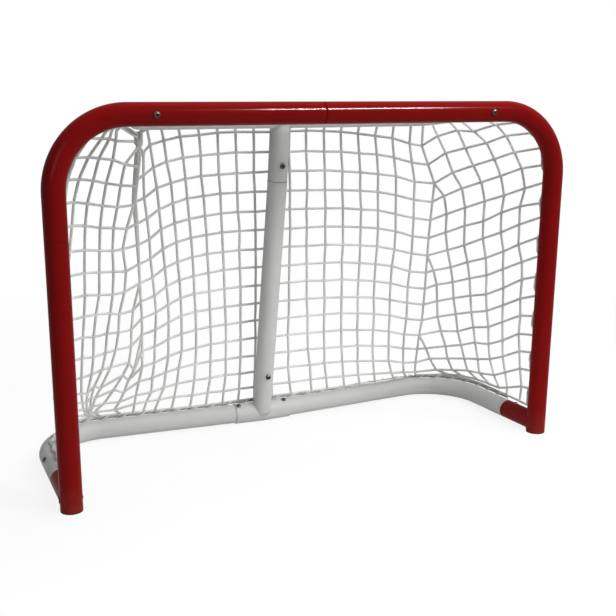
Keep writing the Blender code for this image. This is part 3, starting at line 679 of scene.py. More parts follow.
for side in (-1, 1):
    label = side_name(side)
    end, inner = (top_bar_line[0], top_bar_line[1]) if side < 0 else (top_bar_line[-1], top_bar_line[-2])
    inward = (inner - end).normalized()
    rings = [
        (0.0, 0.0040), (0.0, INSERT_RADIUS - 0.0008), (0.0008, INSERT_RADIUS),
        (INSERT_LENGTH - 0.0008, INSERT_RADIUS), (INSERT_LENGTH, INSERT_RADIUS - 0.0008),
        (INSERT_LENGTH, 0.0040)
    ]
    plug = turned("insert_" + label, rings, end + inward * 2 * GAP, inward, zinc)
    fitted("top_bar_insert_plated_" + label, [plug], "zinc", "top_bar_insert_" + label)

# Bolts, nuts and screws
# Two domed socket bolts through the crossbar into the top bar, two through the brace with hexagon
# nuts behind, and six pan head screws in the tee, the stubs and the base tubes. Zinc plated steel.

BOLT_RADIUS = 0.003
BOLT_HEAD_RADIUS = 0.0052
BOLT_HEAD = 0.0035
BOLT_SOCKET = 0.0021
NUT_RADIUS = 0.0062
NUT_HEIGHT = 0.0046
SCREW_HEAD_RADIUS = 0.0045
SCREW_HEAD = 0.0026
UPPER_BOLT_Z = 0.498
LOWER_BOLT_Z = 0.0975
BRACE_BOLT_SEAT = 0.0017
BOLT_PAST_NUT = 0.0008
TEE_SCREW_LEFT_X = -0.0587
TEE_SCREW_RIGHT_X = 0.0347
TEE_SCREW_LEAN = math.radians(24.0)
STUB_SCREW_Y = 0.062
RAIL_SCREW_Y = {-1: 0.155, 1: 0.175}
RAIL_SCREW_RISE = {-1: math.radians(35.0), 1: math.radians(10.0)}


def hexagon(flat):
    """The reach of a hexagon with this half width across flats, by angle."""
    sector = math.pi / 3
    return lambda angle: flat / math.cos(angle % sector - sector / 2)


def cross_slot(reach, half_width):
    """The reach of a cross recess, by angle."""

    def edge(angle):
        turn = abs((angle + math.pi / 4) % (math.pi / 2) - math.pi / 4)
        return min(reach, half_width / max(math.sin(turn), 0.05))

    return edge


def turned_to_face(tree, spin):
    """A rotation to each point's own facing, turned about it by the spin."""
    facing = node_output(
        tree, "GeometryNodeInputNamedAttribute", {"Name": "facing"}, data_type="FLOAT_VECTOR"
    )
    aligned = node_output(tree, "FunctionNodeAlignRotationToVector", {"Vector": facing}, axis="Z")
    turn = {"Rotation": aligned, "Rotate By": spin}
    return node_output(tree, "FunctionNodeRotateRotation", turn, rotation_space="LOCAL")


def seated_tree():
    tree, given, end = shape_group(
        "heads at their seats",
        [("Seats", "Geometry"), ("Head", "Object"), ("Turn Seed", "Int", 3), ("Plate", "Material")], "Heads"
    )
    turn = node_output(
        tree, "FunctionNodeRandomValue", {"Seed": given["Turn Seed"], 3: 2 * math.pi}, output=1,
        data_type="FLOAT"
    )
    spun = turned_to_face(tree, node_output(tree, "ShaderNodeCombineXYZ", {"Z": turn}))
    head = node_output(tree, "GeometryNodeObjectInfo", {"Object": given["Head"]}, output="Geometry")
    placed = node_output(
        tree, "GeometryNodeInstanceOnPoints", {"Points": given["Seats"], "Instance": head, "Rotation": spun}
    )
    return end(placed, given["Plate"])


heads_at_seats = seated_tree()


def seated(name, head, seats, nodes):
    """One piece with a head at each seat, standing for those CAD nodes."""
    piece = line_object(
        name, [[seat] for seat, _ in seats],
        values={"facing": ("FLOAT_VECTOR", [tuple(facing) for _, facing in seats])}
    )
    use_tree(piece, heads_at_seats, {"Head": head, "Plate": zinc})
    plain_mesh(piece)
    bpy.data.objects.remove(head, do_unlink=True)
    fitted(name, [piece], "zinc", *nodes)


def head_solid(name, rings, recess_ring=None):
    """A head about the Z axis at the origin, with the rings of its recess marked."""
    head = turned(name, rings, (0.0, -FRONT_Y, 0.0), Z_AXIS, zinc)
    per_ring = len(head.data.vertices) // len(rings)
    recess = head.data.attributes.new("recess", "FLOAT", "POINT")
    for number, item in enumerate(recess.data):
        item.value = 1.0 if recess_ring and number >= recess_ring * per_ring else 0.0
    return head


bolt_head = head_solid(
    "bolt_head",
    [
        (-0.004, BOLT_RADIUS), (0.0, BOLT_RADIUS), (0.0, BOLT_HEAD_RADIUS - 0.0002),
        (0.0005, BOLT_HEAD_RADIUS), (0.0014, BOLT_HEAD_RADIUS - 0.0003),
        (0.0024, BOLT_HEAD_RADIUS - 0.0012), (0.0031, BOLT_HEAD_RADIUS - 0.0023),
        (BOLT_HEAD, BOLT_HEAD_RADIUS - 0.0030), (BOLT_HEAD, hexagon(BOLT_SOCKET)),
        (BOLT_HEAD - 0.0002, hexagon(BOLT_SOCKET)), (0.0012, hexagon(BOLT_SOCKET * 0.97)), (0.0008, 0.0008)
    ],
    recess_ring=9
)


def brace_seat(z, facing):
    return tuple(brace_point(z) + facing * (TUBE_RADIUS + BRACE_BOLT_SEAT)), facing


bolt_seats = [
    ((LEFT_BOLT_X, -TUBE_RADIUS - GAP, BAR_Z), -Y_AXIS),
    ((RIGHT_BOLT_X, -TUBE_RADIUS - GAP, BAR_Z), -Y_AXIS),
    brace_seat(UPPER_BOLT_Z, -Y_AXIS), brace_seat(LOWER_BOLT_Z, -Y_AXIS)
]
seated(
    "bolts_plated", bolt_head, bolt_seats,
    ["crossbar_bolt_left", "crossbar_bolt_right", "brace_upper_bolt", "brace_lower_bolt"]
)

nut_flat = NUT_RADIUS * math.cos(math.pi / 6)
nut = head_solid(
    "nut",
    [
        (0.0, 0.0034), (0.0, NUT_RADIUS - 0.0009), (0.0006, hexagon(nut_flat)),
        (NUT_HEIGHT - 0.0006, hexagon(nut_flat)), (NUT_HEIGHT, NUT_RADIUS - 0.0009), (NUT_HEIGHT, 0.0034),
        (NUT_HEIGHT - 0.0006, 0.0029), (NUT_HEIGHT + BOLT_PAST_NUT - 0.0003, 0.0029),
        (NUT_HEIGHT + BOLT_PAST_NUT, 0.0025)
    ]
)
nut_seats = [brace_seat(UPPER_BOLT_Z, Y_AXIS), brace_seat(LOWER_BOLT_Z, Y_AXIS)]
seated("nuts_plated", nut, nut_seats, ["brace_upper_nut", "brace_lower_nut"])

slot = cross_slot(0.0024, 0.00055)
screw_head = head_solid(
    "screw_head",
    [
        (-0.003, 0.0020), (0.0, 0.0020), (0.0, SCREW_HEAD_RADIUS - 0.0002), (0.0005, SCREW_HEAD_RADIUS),
        (0.0014, SCREW_HEAD_RADIUS - 0.0003), (0.0021, SCREW_HEAD_RADIUS - 0.0010),
        (SCREW_HEAD, SCREW_HEAD_RADIUS - 0.0019), (SCREW_HEAD, slot), (SCREW_HEAD - 0.0002, slot),
        (0.0010, lambda angle: slot(angle) * 0.75), (0.0009, 0.0004)
    ],
    recess_ring=8
)


def rail_screw_place(side):
    outward = base_side_direction(side).cross(Z_AXIS) * side
    outward = on_circle(outward, Z_AXIS, RAIL_SCREW_RISE[side])
    return tuple(base_side_point(side, RAIL_SCREW_Y[side]) + outward * (TUBE_RADIUS + GAP)), outward


screw_seats = []
screw_nodes = []
for side in (-1, 1):
    label = side_name(side)
    tee_x = TEE_SCREW_LEFT_X if side < 0 else TEE_SCREW_RIGHT_X
    screw_seats.append((tuple(base_side_point(side, STUB_SCREW_Y) + Z_AXIS * (TUBE_RADIUS + GAP)), Z_AXIS))
    along = (base_rear_point(side, 1.0) - base_rear_point(side, 0.0)).normalized()
    outward = on_circle(Z_AXIS, along.cross(Z_AXIS), TEE_SCREW_LEAN)
    screw_seats.append((tuple(base_rear_point(side, tee_x) + outward * (TEE_RADIUS + GAP)), outward))
    screw_seats.append(rail_screw_place(side))
    screw_nodes += ["stub_screw_" + label, "tee_screw_" + label, "rail_screw_" + label]
seated("screws_plated", screw_head, screw_seats, screw_nodes)

# Net panels
# White twisted cord, 4.8 mm across, knotted into gaps of about 33 by 35 mm. The back leans
# behind the brace, and the side panels hang from the elbows, draw in at the folds and spread out
# to the base tubes, so the rows droop at the folds and the strands gather at the lower corners.

NET_CORD_RADIUS = 0.0024
NET_BASE_Z = 0.0390
NET_BASE_REACH = 0.0150
NET_BASE_END_X = 0.245
NET_TOP_Z = 0.5560
NET_BACK_Y = 0.2085
NET_BACK_LEAN = 0.162
NET_POST_Y = 0.0243
NET_POST_LOW_Z = 0.0440
NET_ELBOW_X = 0.318
NET_TIE = (TOP_BAR_REAR[0] + 0.0105, TOP_BAR_REAR[1] - 0.0100)
FOLD_BASE_X = {-1: -0.245, 1: 0.360}
FOLDS = {
    -1: [(-0.252, 0.2530, 0.236), (-0.263, 0.2160, 0.391), (-0.266, 0.2000, NET_TOP_Z)],
    1: [(0.337, 0.2540, 0.160), (0.320, 0.2130, 0.410), (0.319, 0.2060, 0.456), (0.275, 0.2000, NET_TOP_Z)]
}
NET_LEFT_REACH = -0.0040
NET_LEFT_REACH_Y = (0.190, 0.270)
NET_OVER_SCREW = 0.0035
SIDE_SWELL = 0.0045
CORD_BOW = 0.30
KNOT_SCALE = 0.00092
KNOT_STEPS = 12
KNOT_SIDES = 5
KNOT_CORD_RADIUS = 0.0015
EDGE_SPACING = 0.03
KNOT_WOBBLE = 0.0009
CORD_WHITE = (0.64, 0.645, 0.63)
# Painted shade: the colour of the cord in the grooves between its strands.
CORD_GROOVE_SHADE = (0.55, 0.55, 0.54)


def net_base_reach(side, y, left_turn):
    """How far outside the middle of the base tube the net's lower edge lies."""
    start, end = left_turn
    share = min(1.0, max(0.0, (y - start) / (end - start))) if side < 0 else 1.0
    return NET_LEFT_REACH + (NET_BASE_REACH - NET_LEFT_REACH) * share


def net_base_line(side, left_turn=NET_LEFT_REACH_Y):
    """The net's lower edge on one side, as far as the fold. The left edge leaves the top of its
    tube between the two places in Y."""
    fold_x = abs(FOLD_BASE_X[side])
    points = [Vector((side * POST_X, NET_POST_Y, NET_POST_LOW_Z))]
    line = base_line(side, SOCKET_END, side * NET_BASE_END_X)
    for before, after in zip(line, line[1:]):
        outward = (after - before).normalized().cross(Z_AXIS) * side
        reach = net_base_reach(side, before.y, left_turn)
        points.append(Vector((*before.xy, NET_BASE_Z)) + outward * reach)
    points.append(Vector((*line[-1].xy, NET_BASE_Z)) + outward * NET_BASE_REACH)
    if side < 0:
        points[1].z += NET_OVER_SCREW
    while abs(points[-2].x) < fold_x:
        points.pop()
    before, after = points[-2:]
    points[-1] = before.lerp(after, (abs(before.x) - fold_x) / (abs(before.x) - abs(after.x)))
    return points


def share_of_line(points, share):
    """The point at a share of the length of a line through the points."""
    left = share * sum((after - before).length for before, after in zip(points, points[1:]))
    for before, after in zip(points, points[1:]):
        length = (after - before).length
        if left <= length:
            return before.lerp(after, left / length)
        left -= length
    return points[-1]


def even_points(points, spacing):
    """The same line with points at an even spacing."""
    length = sum((after - before).length for before, after in zip(points, points[1:]))
    count = max(2, round(length / spacing))
    return [share_of_line(points, number / count) for number in range(count + 1)]


fold_lines = {side: [net_base_line(side)[-1]] + [Vector(p) for p in FOLDS[side]] for side in (-1, 1)}


def fold_at_height(side, z):
    points = fold_lines[side]
    for low, high in zip(points, points[1:]):
        if z <= high.z:
            return low.lerp(high, (z - low.z) / (high.z - low.z))
    return points[-1]


def back_place(x, z):
    """A point of the back panel: in the folds at its edges and behind the brace between them."""
    left = fold_at_height(-1, z)
    right = fold_at_height(1, z)
    across = min(1.0, max(0.0, (x - left.x) / (right.x - left.x)))
    leaning = NET_BACK_Y + (NET_TOP_Z - z) * NET_BACK_LEAN
    reach = min(1.0, min(across, 1.0 - across) * 5.0)
    eased = reach * reach * (3.0 - 2.0 * reach)
    level = left.y + (right.y - left.y) * across
    return Vector((x, level + (leaning - level) * eased, z))


def between(stations, values, position):
    """The value at a position, on straight lines between the stations."""
    for low, high, before, after in zip(stations, stations[1:], values, values[1:]):
        if position <= high:
            return before + (after - before) * (position - low) / (high - low)
    return values[-1]


# The back panel's knots: a level for each row, how far the cords droop beside each fold, and
# where each column runs, at seven of the rows, in mm.
TIE_FOOT = Vector((-0.2570, 0.2000, 0.5350))
TIE_RADIUS = 0.0054
TIE_PITCH = 0.0033
TIE_TURNS = 5
TIE_HANGERS = [(-0.2460, 0.1860, 0.5640), (-0.2520, 0.1870, 0.5640)]
BACK_ROWS = 16
BACK_COLUMNS = 19
ROW_TOP_Z = 0.555
ROW_STEP = 0.0353
LOW_ROW_Z = {13: 0.097, 14: 0.065, 15: 0.039}
DROOP_LEFT = [0.039, 0.032, 0.019, 0.011, 0.006, 0.003, 0.001]
DROOP_RIGHT = [0.030, 0.025, 0.016, 0.010, 0.006, 0.003, 0.001]
DROOP_ROWS = [0, 4, 7, 11, 13, 14, 15]
DROOP_LEFT_SHARE = [1.0, 1.18, 1.15, 0.85, 0.55, 0.18, 0.0]
DROOP_RIGHT_SHARE = [1.0, 1.10, 1.15, 0.95, 0.85, 0.60, 0.10]
COLUMN_ROWS = [0, 2, 5, 8, 11, 13, 15]
COLUMN_X = [
    [-258, -265, -256, -247, -243, -253, -257], [-249, -247, -235, -221, -220, -225, -238],
    [-236, -224, -212, -198, -194, -201, -216], [-212, -199, -186, -174, -169, -176, -184],
    [-182, -171, -158, -147, -141, -143, -149], [-148, -142, -128, -119, -112, -111, -117],
    [-115, -109, -98, -89, -82, -80, -83], [-82, -76, -66, -58, -52, -50, -51],
    [-49, -44, -34, -28, -22, -19, -17], [-15, -10, 0, 6, 12, 16, 21], [19, 25, 35, 41, 47, 52, 62],
    [53, 60, 69, 77, 88, 98, 108], [88, 96, 107, 115, 124, 132, 143], [123, 132, 145, 153, 162, 171, 182],
    [158, 170, 184, 190, 198, 207, 218], [194, 209, 221, 226, 235, 242, 254],
    [229, 245, 257, 260, 269, 281, 304], [264, 282, 293, 297, 304, 316, 335],
    [291, 324, 327, 334, 338, 349, 360]
]


def back_knot(column, row):
    """A knot of the back panel. The first column is the left fold, the last the right fold."""
    z = LOW_ROW_Z.get(row, ROW_TOP_Z - ROW_STEP * row)
    from_right = BACK_COLUMNS - 1 - column
    if column < len(DROOP_LEFT):
        z -= DROOP_LEFT[column] * between(DROOP_ROWS, DROOP_LEFT_SHARE, row)
    if from_right < len(DROOP_RIGHT):
        z -= DROOP_RIGHT[from_right] * between(DROOP_ROWS, DROOP_RIGHT_SHARE, row)
    x = between(COLUMN_ROWS, [place / 1000 for place in COLUMN_X[column]], row)
    place = back_place(x, z)
    if column in (0, BACK_COLUMNS - 1):
        place.y = fold_at_height(-1 if column == 0 else 1, z).y
    return place


def side_place(side, across, height):
    """A point of a side panel at a share of the way from post to fold, and at a height."""
    front_line, low_line = side_edges[side]
    high = front_line[-1].lerp(fold_lines[side][-1], across)
    low = share_of_line(low_line, across)
    least, most = 0.0, 1.0
    for _ in range(14):
        rise = (least + most) / 2
        front = share_of_line(front_line, rise)
        fold_z = NET_BASE_Z + (NET_TOP_Z - NET_BASE_Z) * rise
        place = front.lerp(fold_at_height(side, fold_z), across) + low.lerp(high, rise)
        place -= low_line[0].lerp(low_line[-1], across).lerp(high, rise)
        if place.z < height:
            least = rise
        else:
            most = rise
    return place + X_AXIS * side * SIDE_SWELL * across


side_edges = {}
for side in (-1, 1):
    post_x = side * POST_X
    post_line = rounded_line(
        [(post_x, 0.0, NET_POST_LOW_Z), (post_x, 0.0, BAR_Z), (side * NET_ELBOW_X, 0.0, BAR_Z)], CORNER_BEND
    )
    side_edges[side] = ([point + Y_AXIS * NET_POST_Y for point in post_line], net_base_line(side))


def smooth_line(points, steps):
    """A gently bowed line through the points, which keeps a slight bend at each."""
    line = []
    for number in range(len(points) - 1):
        before = points[max(0, number - 1)]
        start, end = points[number], points[number + 1]
        after = points[min(len(points) - 1, number + 2)]
        leave = (end - before) * 0.5 * CORD_BOW + (end - start) * (1 - CORD_BOW)
        arrive = (after - start) * 0.5 * CORD_BOW + (end - start) * (1 - CORD_BOW)
        for step in range(steps):
            t = step / steps
            bowed = start * (2 * t**3 - 3 * t**2 + 1) + leave * (t**3 - 2 * t**2 + t)
            line.append(bowed + end * (3 * t**2 - 2 * t**3) + arrive * (t**3 - t**2))
    line.append(points[-1])
    return line


def knot_shape():
    """A small tight knot of a few dozen faces."""
    points = []
    for number in range(KNOT_STEPS):
        t = 2 * math.pi * number / KNOT_STEPS
        loop = (math.sin(t) + 1.7 * math.sin(2 * t), math.cos(t) - 1.7 * math.cos(2 * t), -math.sin(3 * t))
        points.append(Vector(loop) * KNOT_SCALE)
    bm = bmesh.new()
    rings = []
    for number, point in enumerate(points):
        along = (points[(number + 1) % KNOT_STEPS] - points[number - 1]).normalized()
        first = along.orthogonal() if not rings else first - along * first.dot(along)
        first = first.normalized()
        second = along.cross(first)
        ring = []
        for corner in range(KNOT_SIDES):
            angle = 2 * math.pi * corner / KNOT_SIDES
            outward = on_circle(first, second, angle)
            ring.append(bm.verts.new(point + outward * KNOT_CORD_RADIUS))
        rings.append(ring)
    for number, ring in enumerate(rings):
        after = rings[(number + 1) % KNOT_STEPS]
        shift = 0
        if number == KNOT_STEPS - 1:
            shift = min(range(KNOT_SIDES), key=lambda s: (ring[0].co - after[s].co).length)
        for corner in range(KNOT_SIDES):
            onward = (corner + 1) % KNOT_SIDES
            far = [after[(place + shift) % KNOT_SIDES] for place in (onward, corner)]
            bm.faces.new((ring[corner], ring[onward], *far))
    return new_object("knot", finished_mesh(bm, "knot"))


def cord_twist_group():
    """Strands laid round a cord: painted shade in the grooves between them, and a raised middle."""
    tree, given, result = new_group(
        "cord twist", "ShaderNodeTree",
        [
            ("Cord", "Color", (0.6, 0.6, 0.6, 1.0)), ("Groove", "Color", (0.3, 0.3, 0.3, 1.0)),
            ("Strands", "Float", 3.0), ("Lay", "Float", 0.009), ("Along", "Float", 0.0),
            ("Around", "Vector", (1.0, 0.0, 0.0)), ("Place", "Vector", (0.0, 0.0, 0.0))
        ],
        [("Colour", "Color"), ("Height", "Float")]
    )
    split = add_node(tree, "ShaderNodeSeparateXYZ", {0: given["Around"]})
    angle = maths(tree, "ARCTAN2", split.outputs["Y"], split.outputs["X"])
    turned_by = maths(tree, "MULTIPLY", angle, given["Strands"])
    laid = maths(tree, "DIVIDE", given["Along"], given["Lay"])
    wave = maths(tree, "SINE", maths(tree, "MULTIPLY_ADD", laid, 2 * math.pi * 3, turned_by))
    crown = ranged(tree, wave, -1.0, 0.1)
    level = maths(tree, "MULTIPLY_ADD", noise(tree, given["Place"], 22.0), 0.5, 0.75)
    # Painted shade: the groove colour darkens the cord between its strands, where shade falls.
    shade = blend(tree, crown, given["Groove"], given["Cord"])
    worn = node_output(tree, "ShaderNodeVectorMath", {0: shade, "Scale": level}, operation="SCALE")
    height = maths(tree, "MULTIPLY_ADD", noise(tree, given["Place"], 900.0), 0.25, crown)
    fill(tree, result, {"Colour": worn, "Height": height})
    return tree


cord_twist = cord_twist_group()


def cord_material(name, colour, groove_shade, strands, lay):
    made, tree, shader, place = new_material(name)
    along = node_output(tree, "ShaderNodeAttribute", output="Fac", attribute_name="along")
    around = node_output(tree, "ShaderNodeAttribute", output="Vector", attribute_name="around")
    amounts = {
        "Along": along, "Around": around, "Place": place, "Cord": (*colour, 1.0), "Groove": (*groove_shade, 1.0),
        "Strands": strands, "Lay": lay
    }
    twist = add_node(tree, "ShaderNodeGroup", amounts, node_tree=cord_twist)
    bump = node_output(
        tree, "ShaderNodeBump", {"Height": twist.outputs["Height"], "Strength": 0.25, "Distance": 0.0005}
    )
    fill(
        tree, shader,
        {
            "Base Color": twist.outputs["Colour"], "Normal": bump, "Roughness": 0.75,
            "Specular IOR Level": 0.3, "Sheen Weight": 0.1
        }
    )
    return made


net_cord = cord_material("net cord", CORD_WHITE, CORD_GROOVE_SHADE, 3.0, 0.030)


def cord_tree():
    tree, given, result = new_group(
        "knotted cord", "GeometryNodeTree",
        [
            ("Lines", "Geometry"), ("Cord Radius", "Float", 0.0017), ("Cord Sides", "Int", 7),
            ("Knot", "Object"), ("Knot Size", "Float", 1.0), ("Seed", "Int", 5), ("Cord", "Material")
        ],
        [("Net", "Geometry")]
    )
    curve = node_output(tree, "GeometryNodeMeshToCurve", {"Mesh": given["Lines"]})
    along = node_output(tree, "GeometryNodeSplineParameter", output="Length")
    measured = node_output(
        tree, "GeometryNodeStoreNamedAttribute", {"Geometry": curve, "Name": "along", "Value": along},
        data_type="FLOAT", domain="POINT"
    )
    ring = node_output(
        tree, "GeometryNodeCurvePrimitiveCircle",
        {"Resolution": given["Cord Sides"], "Radius": given["Cord Radius"]}
    )
    where = node_output(tree, "GeometryNodeInputPosition")
    unit = node_output(tree, "ShaderNodeVectorMath", {0: where}, operation="NORMALIZE")
    marked = node_output(
        tree, "GeometryNodeStoreNamedAttribute", {"Geometry": ring, "Name": "around", "Value": unit},
        data_type="FLOAT_VECTOR", domain="POINT"
    )
    laid = node_output(
        tree, "GeometryNodeCurveToMesh", {"Curve": measured, "Profile Curve": marked, "Fill Caps": True}
    )
    tied = node_output(tree, "GeometryNodeInputNamedAttribute", {"Name": "knot"}, data_type="FLOAT")
    at_knots = node_output(
        tree, "FunctionNodeCompare", {0: tied, 1: 0.5}, data_type="FLOAT", operation="GREATER_THAN"
    )
    spots = node_output(tree, "GeometryNodeMeshToPoints", {"Mesh": given["Lines"], "Selection": at_knots})
    turn = node_output(
        tree, "FunctionNodeRandomValue",
        {"Seed": given["Seed"], 0: (-0.5, -0.5, 0.0), 1: (0.5, 0.5, 2 * math.pi)}, data_type="FLOAT_VECTOR"
    )
    size = node_output(
        tree, "FunctionNodeRandomValue", {"Seed": given["Seed"], 2: 0.85, 3: 1.15}, output=1,
        data_type="FLOAT"
    )
    grown = maths(tree, "MULTIPLY", size, given["Knot Size"])
    spun = turned_to_face(tree, turn)
    knot = node_output(tree, "GeometryNodeObjectInfo", {"Object": given["Knot"]}, output="Geometry")
    knots = node_output(
        tree, "GeometryNodeInstanceOnPoints",
        {"Points": spots, "Instance": knot, "Rotation": spun, "Scale": grown}
    )
    made = node_output(tree, "GeometryNodeRealizeInstances", {"Geometry": knots})
    whole = add_node(tree, "GeometryNodeJoinGeometry")
    tree.links.new(laid, whole.inputs[0])
    tree.links.new(made, whole.inputs[0])
    covered = node_output(
        tree, "GeometryNodeSetMaterial", {"Geometry": whole.outputs["Geometry"], "Material": given["Cord"]}
    )
    fill(tree, result, {"Net": covered})
    return tree


knotted_cord = cord_tree()
knot = knot_shape()
CELL_STEPS = 5


def net_object(name, strands, facing, nodes, seed):
    """Cords through lists of (point, knotted), with a knot wherever one is marked."""
    lines = []
    marks = []
    for strand in strands:
        line = smooth_line([point for point, _ in strand], CELL_STEPS)
        lines.append(line)
        for number in range(len(line)):
            tied = number % CELL_STEPS == 0 and strand[number // CELL_STEPS][1]
            marks.append(1.0 if tied else 0.0)
    values = {"knot": ("FLOAT", marks), "facing": ("FLOAT_VECTOR", [tuple(facing)] * len(marks))}
    piece = line_object(name, lines, values=values)
    cord = {"Cord Radius": NET_CORD_RADIUS, "Knot": knot, "Knot Size": 1.0, "Seed": seed, "Cord": net_cord}
    use_tree(piece, knotted_cord, cord)
    plain_mesh(piece)
    return fitted(name, [piece], "net_cord", *nodes)


def loose(points):
    """The same points as a strand without knots."""
    return [(point, False) for point in points]


def shaken(point, wobble, amount):
    return point + Vector([wobble.uniform(-amount, amount) for _ in range(3)])


wobble = random.Random(7)
back_knots = {}
for column in range(BACK_COLUMNS):
    for row in range(BACK_ROWS):
        edge = row == BACK_ROWS - 1 or column in (0, BACK_COLUMNS - 1)
        back_knots[column, row] = shaken(back_knot(column, row), wobble, 0.0 if edge else KNOT_WOBBLE)
strands = []
for row in range(BACK_ROWS):
    strands.append([(back_knots[column, row], True) for column in range(BACK_COLUMNS)])
for column in range(BACK_COLUMNS):
    top = Vector((back_knots[column, 0].x - 0.011, *NET_TIE))
    if column < 2:
        top = TIE_FOOT
    strands.append(loose([top] + [back_knots[column, row] for row in range(BACK_ROWS)]))

# The upper left corner: a cord wound round the gathered strands, tied up to the top bar, and two
# more strands down the fold.
tie_turns = []
for number in range(TIE_TURNS * 8 + 1):
    angle = 2 * math.pi * number / 8
    around = Vector((math.cos(angle), math.sin(angle), 0.0)) * TIE_RADIUS
    tie_turns.append(TIE_FOOT + Z_AXIS * (0.003 + TIE_PITCH * number / 8) + around)
strands.append(loose(tie_turns))
for turn in range(5):
    around = Vector((math.cos(turn * 1.3), math.sin(turn * 1.3), 0.0)) * 0.0026
    strands.append(loose(TIE_FOOT + around + Z_AXIS * rise for rise in (-0.002, 0.012, 0.024)))
for end in TIE_HANGERS:
    strands.append(loose([TIE_FOOT + Z_AXIS * 0.020, Vector(end)]))
for step, depth in ((0.0032, -0.0015), (-0.0030, 0.0020)):
    strand = [TIE_FOOT]
    for row in range(7):
        ease = 1.0 - row / 6
        strand.append(back_knots[0, row] + Vector((step * ease, depth * ease, 0.004)))
    strands.append(loose(strand))
net_object("net_back_cord", strands, (0.0, 1.0, 0.15), ["net_back"], 5)

# Left side panel: the knots of each column, from the row at the elbow downwards, as the share of
# the way from the post to the fold in thousandths, and the height in mm. Some columns only start
# where they leave the fold, at the row named first.
LEFT_POST_HEIGHTS = [562, 532, 500, 465, 429, 393, 358, 323, 289, 251, 219, 190, 158, 128, 100, 72]
LEFT_COLUMNS = [
    (0, [
        (360, 554), (400, 526), (430, 492), (450, 456), (470, 418), (480, 375),
        (490, 333), (500, 292), (510, 252), (520, 211), (530, 170), (540, 133),
        (560, 106), (600, 82), (660, 62), (710, 48),
    ]),
    (0, [
        (470, 553), (550, 522), (610, 486), (620, 449), (630, 412), (650, 370),
        (670, 329), (690, 288), (700, 248), (710, 208), (720, 167), (730, 127),
        (740, 94), (750, 75), (760, 59), (775, 46),
    ]),
    (0, [
        (600, 548), (720, 517), (740, 479), (750, 442), (750, 405), (760, 365),
        (770, 326), (780, 284), (770, 248), (770, 205), (780, 165), (780, 130),
        (770, 93), (770, 74), (775, 58), (780, 45),
    ]),
    (1, [
        (900, 507), (880, 473), (870, 437), (850, 402), (850, 362),
        (860, 324), (860, 282), (850, 247), (840, 208), (840, 170), (830, 137),
        (800, 105), (790, 81), (790, 62), (785, 46),
    ]),
    (4, [
        (950, 398), (920, 363), (940, 322), (930, 284), (900, 243), (900, 208),
        (890, 174), (870, 140), (830, 100), (810, 80), (800, 62), (790, 47),
    ]),
    (8, [
        (980, 248), (970, 211), (970, 178), (960, 145), (930, 120), (890, 92),
        (850, 66), (810, 50),
    ]),
    (11, [(985, 129), (960, 110), (940, 86), (920, 66), (900, 50)]),
]
LEFT_TOPS = [
    [(-0.3340, 0.045, 0.5800), (0.31, 0.564)], [(-0.3240, 0.070, 0.5760), (0.34, 0.568)],
    [(-0.3110, 0.100, 0.5720), (0.42, 0.566)]
]
TOP_EDGE = [
    (-0.345, 0.0243, 0.5860), (-0.324, 0.070, 0.5745), (-0.301, 0.120, 0.5662), (-0.279, 0.165, 0.5575)
]
HIDDEN_SHARES = (0.30, 0.58)
HIDDEN_TOPS = (0.90, 0.94)
FOLD_SHARES = {1: 0.38, 2: 0.27, 3: 0.12}


def placed_knots(side, columns):
    """The places of a side panel's knots, by column and row."""
    made = {}
    for number, (first, knots) in enumerate(columns):
        for offset, (across, height) in enumerate(knots):
            made[number, first + offset] = side_place(side, across / 1000, height / 1000)
    return made


def knots_in_row(knots, row):
    return [(place, True) for (_, level), place in knots.items() if level == row]


left_knots = placed_knots(-1, LEFT_COLUMNS)
strands = []
hidden = {}
for row, post_height in enumerate(LEFT_POST_HEIGHTS):
    start = side_place(-1, 0.0, post_height / 1000)
    strand = [(start, False)]
    for number, share in enumerate(HIDDEN_SHARES):
        hidden[number, row] = start.lerp(left_knots[0, row], share)
        strand.append((hidden[number, row], True))
    strand += knots_in_row(left_knots, row)
    if row == 0:
        end = TIE_FOOT + Vector((-TIE_RADIUS, 0.0, 0.008))
    else:
        end = back_knots[0, row - 1].lerp(back_knots[0, row], FOLD_SHARES.get(row, 0.0))
    strand.append((end, False))
    strands.append(strand)
low_edge = net_base_line(-1, (0.272, 0.292))
for number, share in enumerate(HIDDEN_SHARES):
    top = (share_of_line(side_edges[-1][0], HIDDEN_TOPS[number]), False)
    foot = (share_of_line(low_edge, 0.66 * share + 0.05), False)
    strands.append([top] + [(hidden[number, row], False) for row in range(len(LEFT_POST_HEIGHTS))] + [foot])
for number, (first, knots) in enumerate(LEFT_COLUMNS):
    if first > 1:
        start = [(back_knots[0, first - 2], False)]
    elif first:
        start = [(TIE_FOOT, False)]
    else:
        upper, lower = LEFT_TOPS[number]
        start = [(Vector(upper), False), (side_place(-1, *lower), False)]
    rows = range(first, first + len(knots))
    foot = (share_of_line(low_edge, knots[-1][0] / 1000 + 0.02), False)
    strands.append(start + [(left_knots[number, row], False) for row in rows] + [foot])
for rise in (0.0, 0.0035):
    gathered = [Vector(point) + Z_AXIS * rise * number / 2 for number, point in enumerate(TOP_EDGE)]
    strands.append(loose(gathered + [TIE_FOOT + Z_AXIS * (0.014 + rise)]))
strands.append(loose(even_points(side_edges[-1][0], EDGE_SPACING)))
laced = []
for number, point in enumerate(even_points(low_edge, 0.008)):
    laced.append(point + Vector((0.0018 * math.sin(number * 1.3), 0.0, 0.0004)))
strands.append(loose(laced))
net_object("net_left_cord", strands, (-0.8, 0.6, 0.0), ["net_left"], 6)

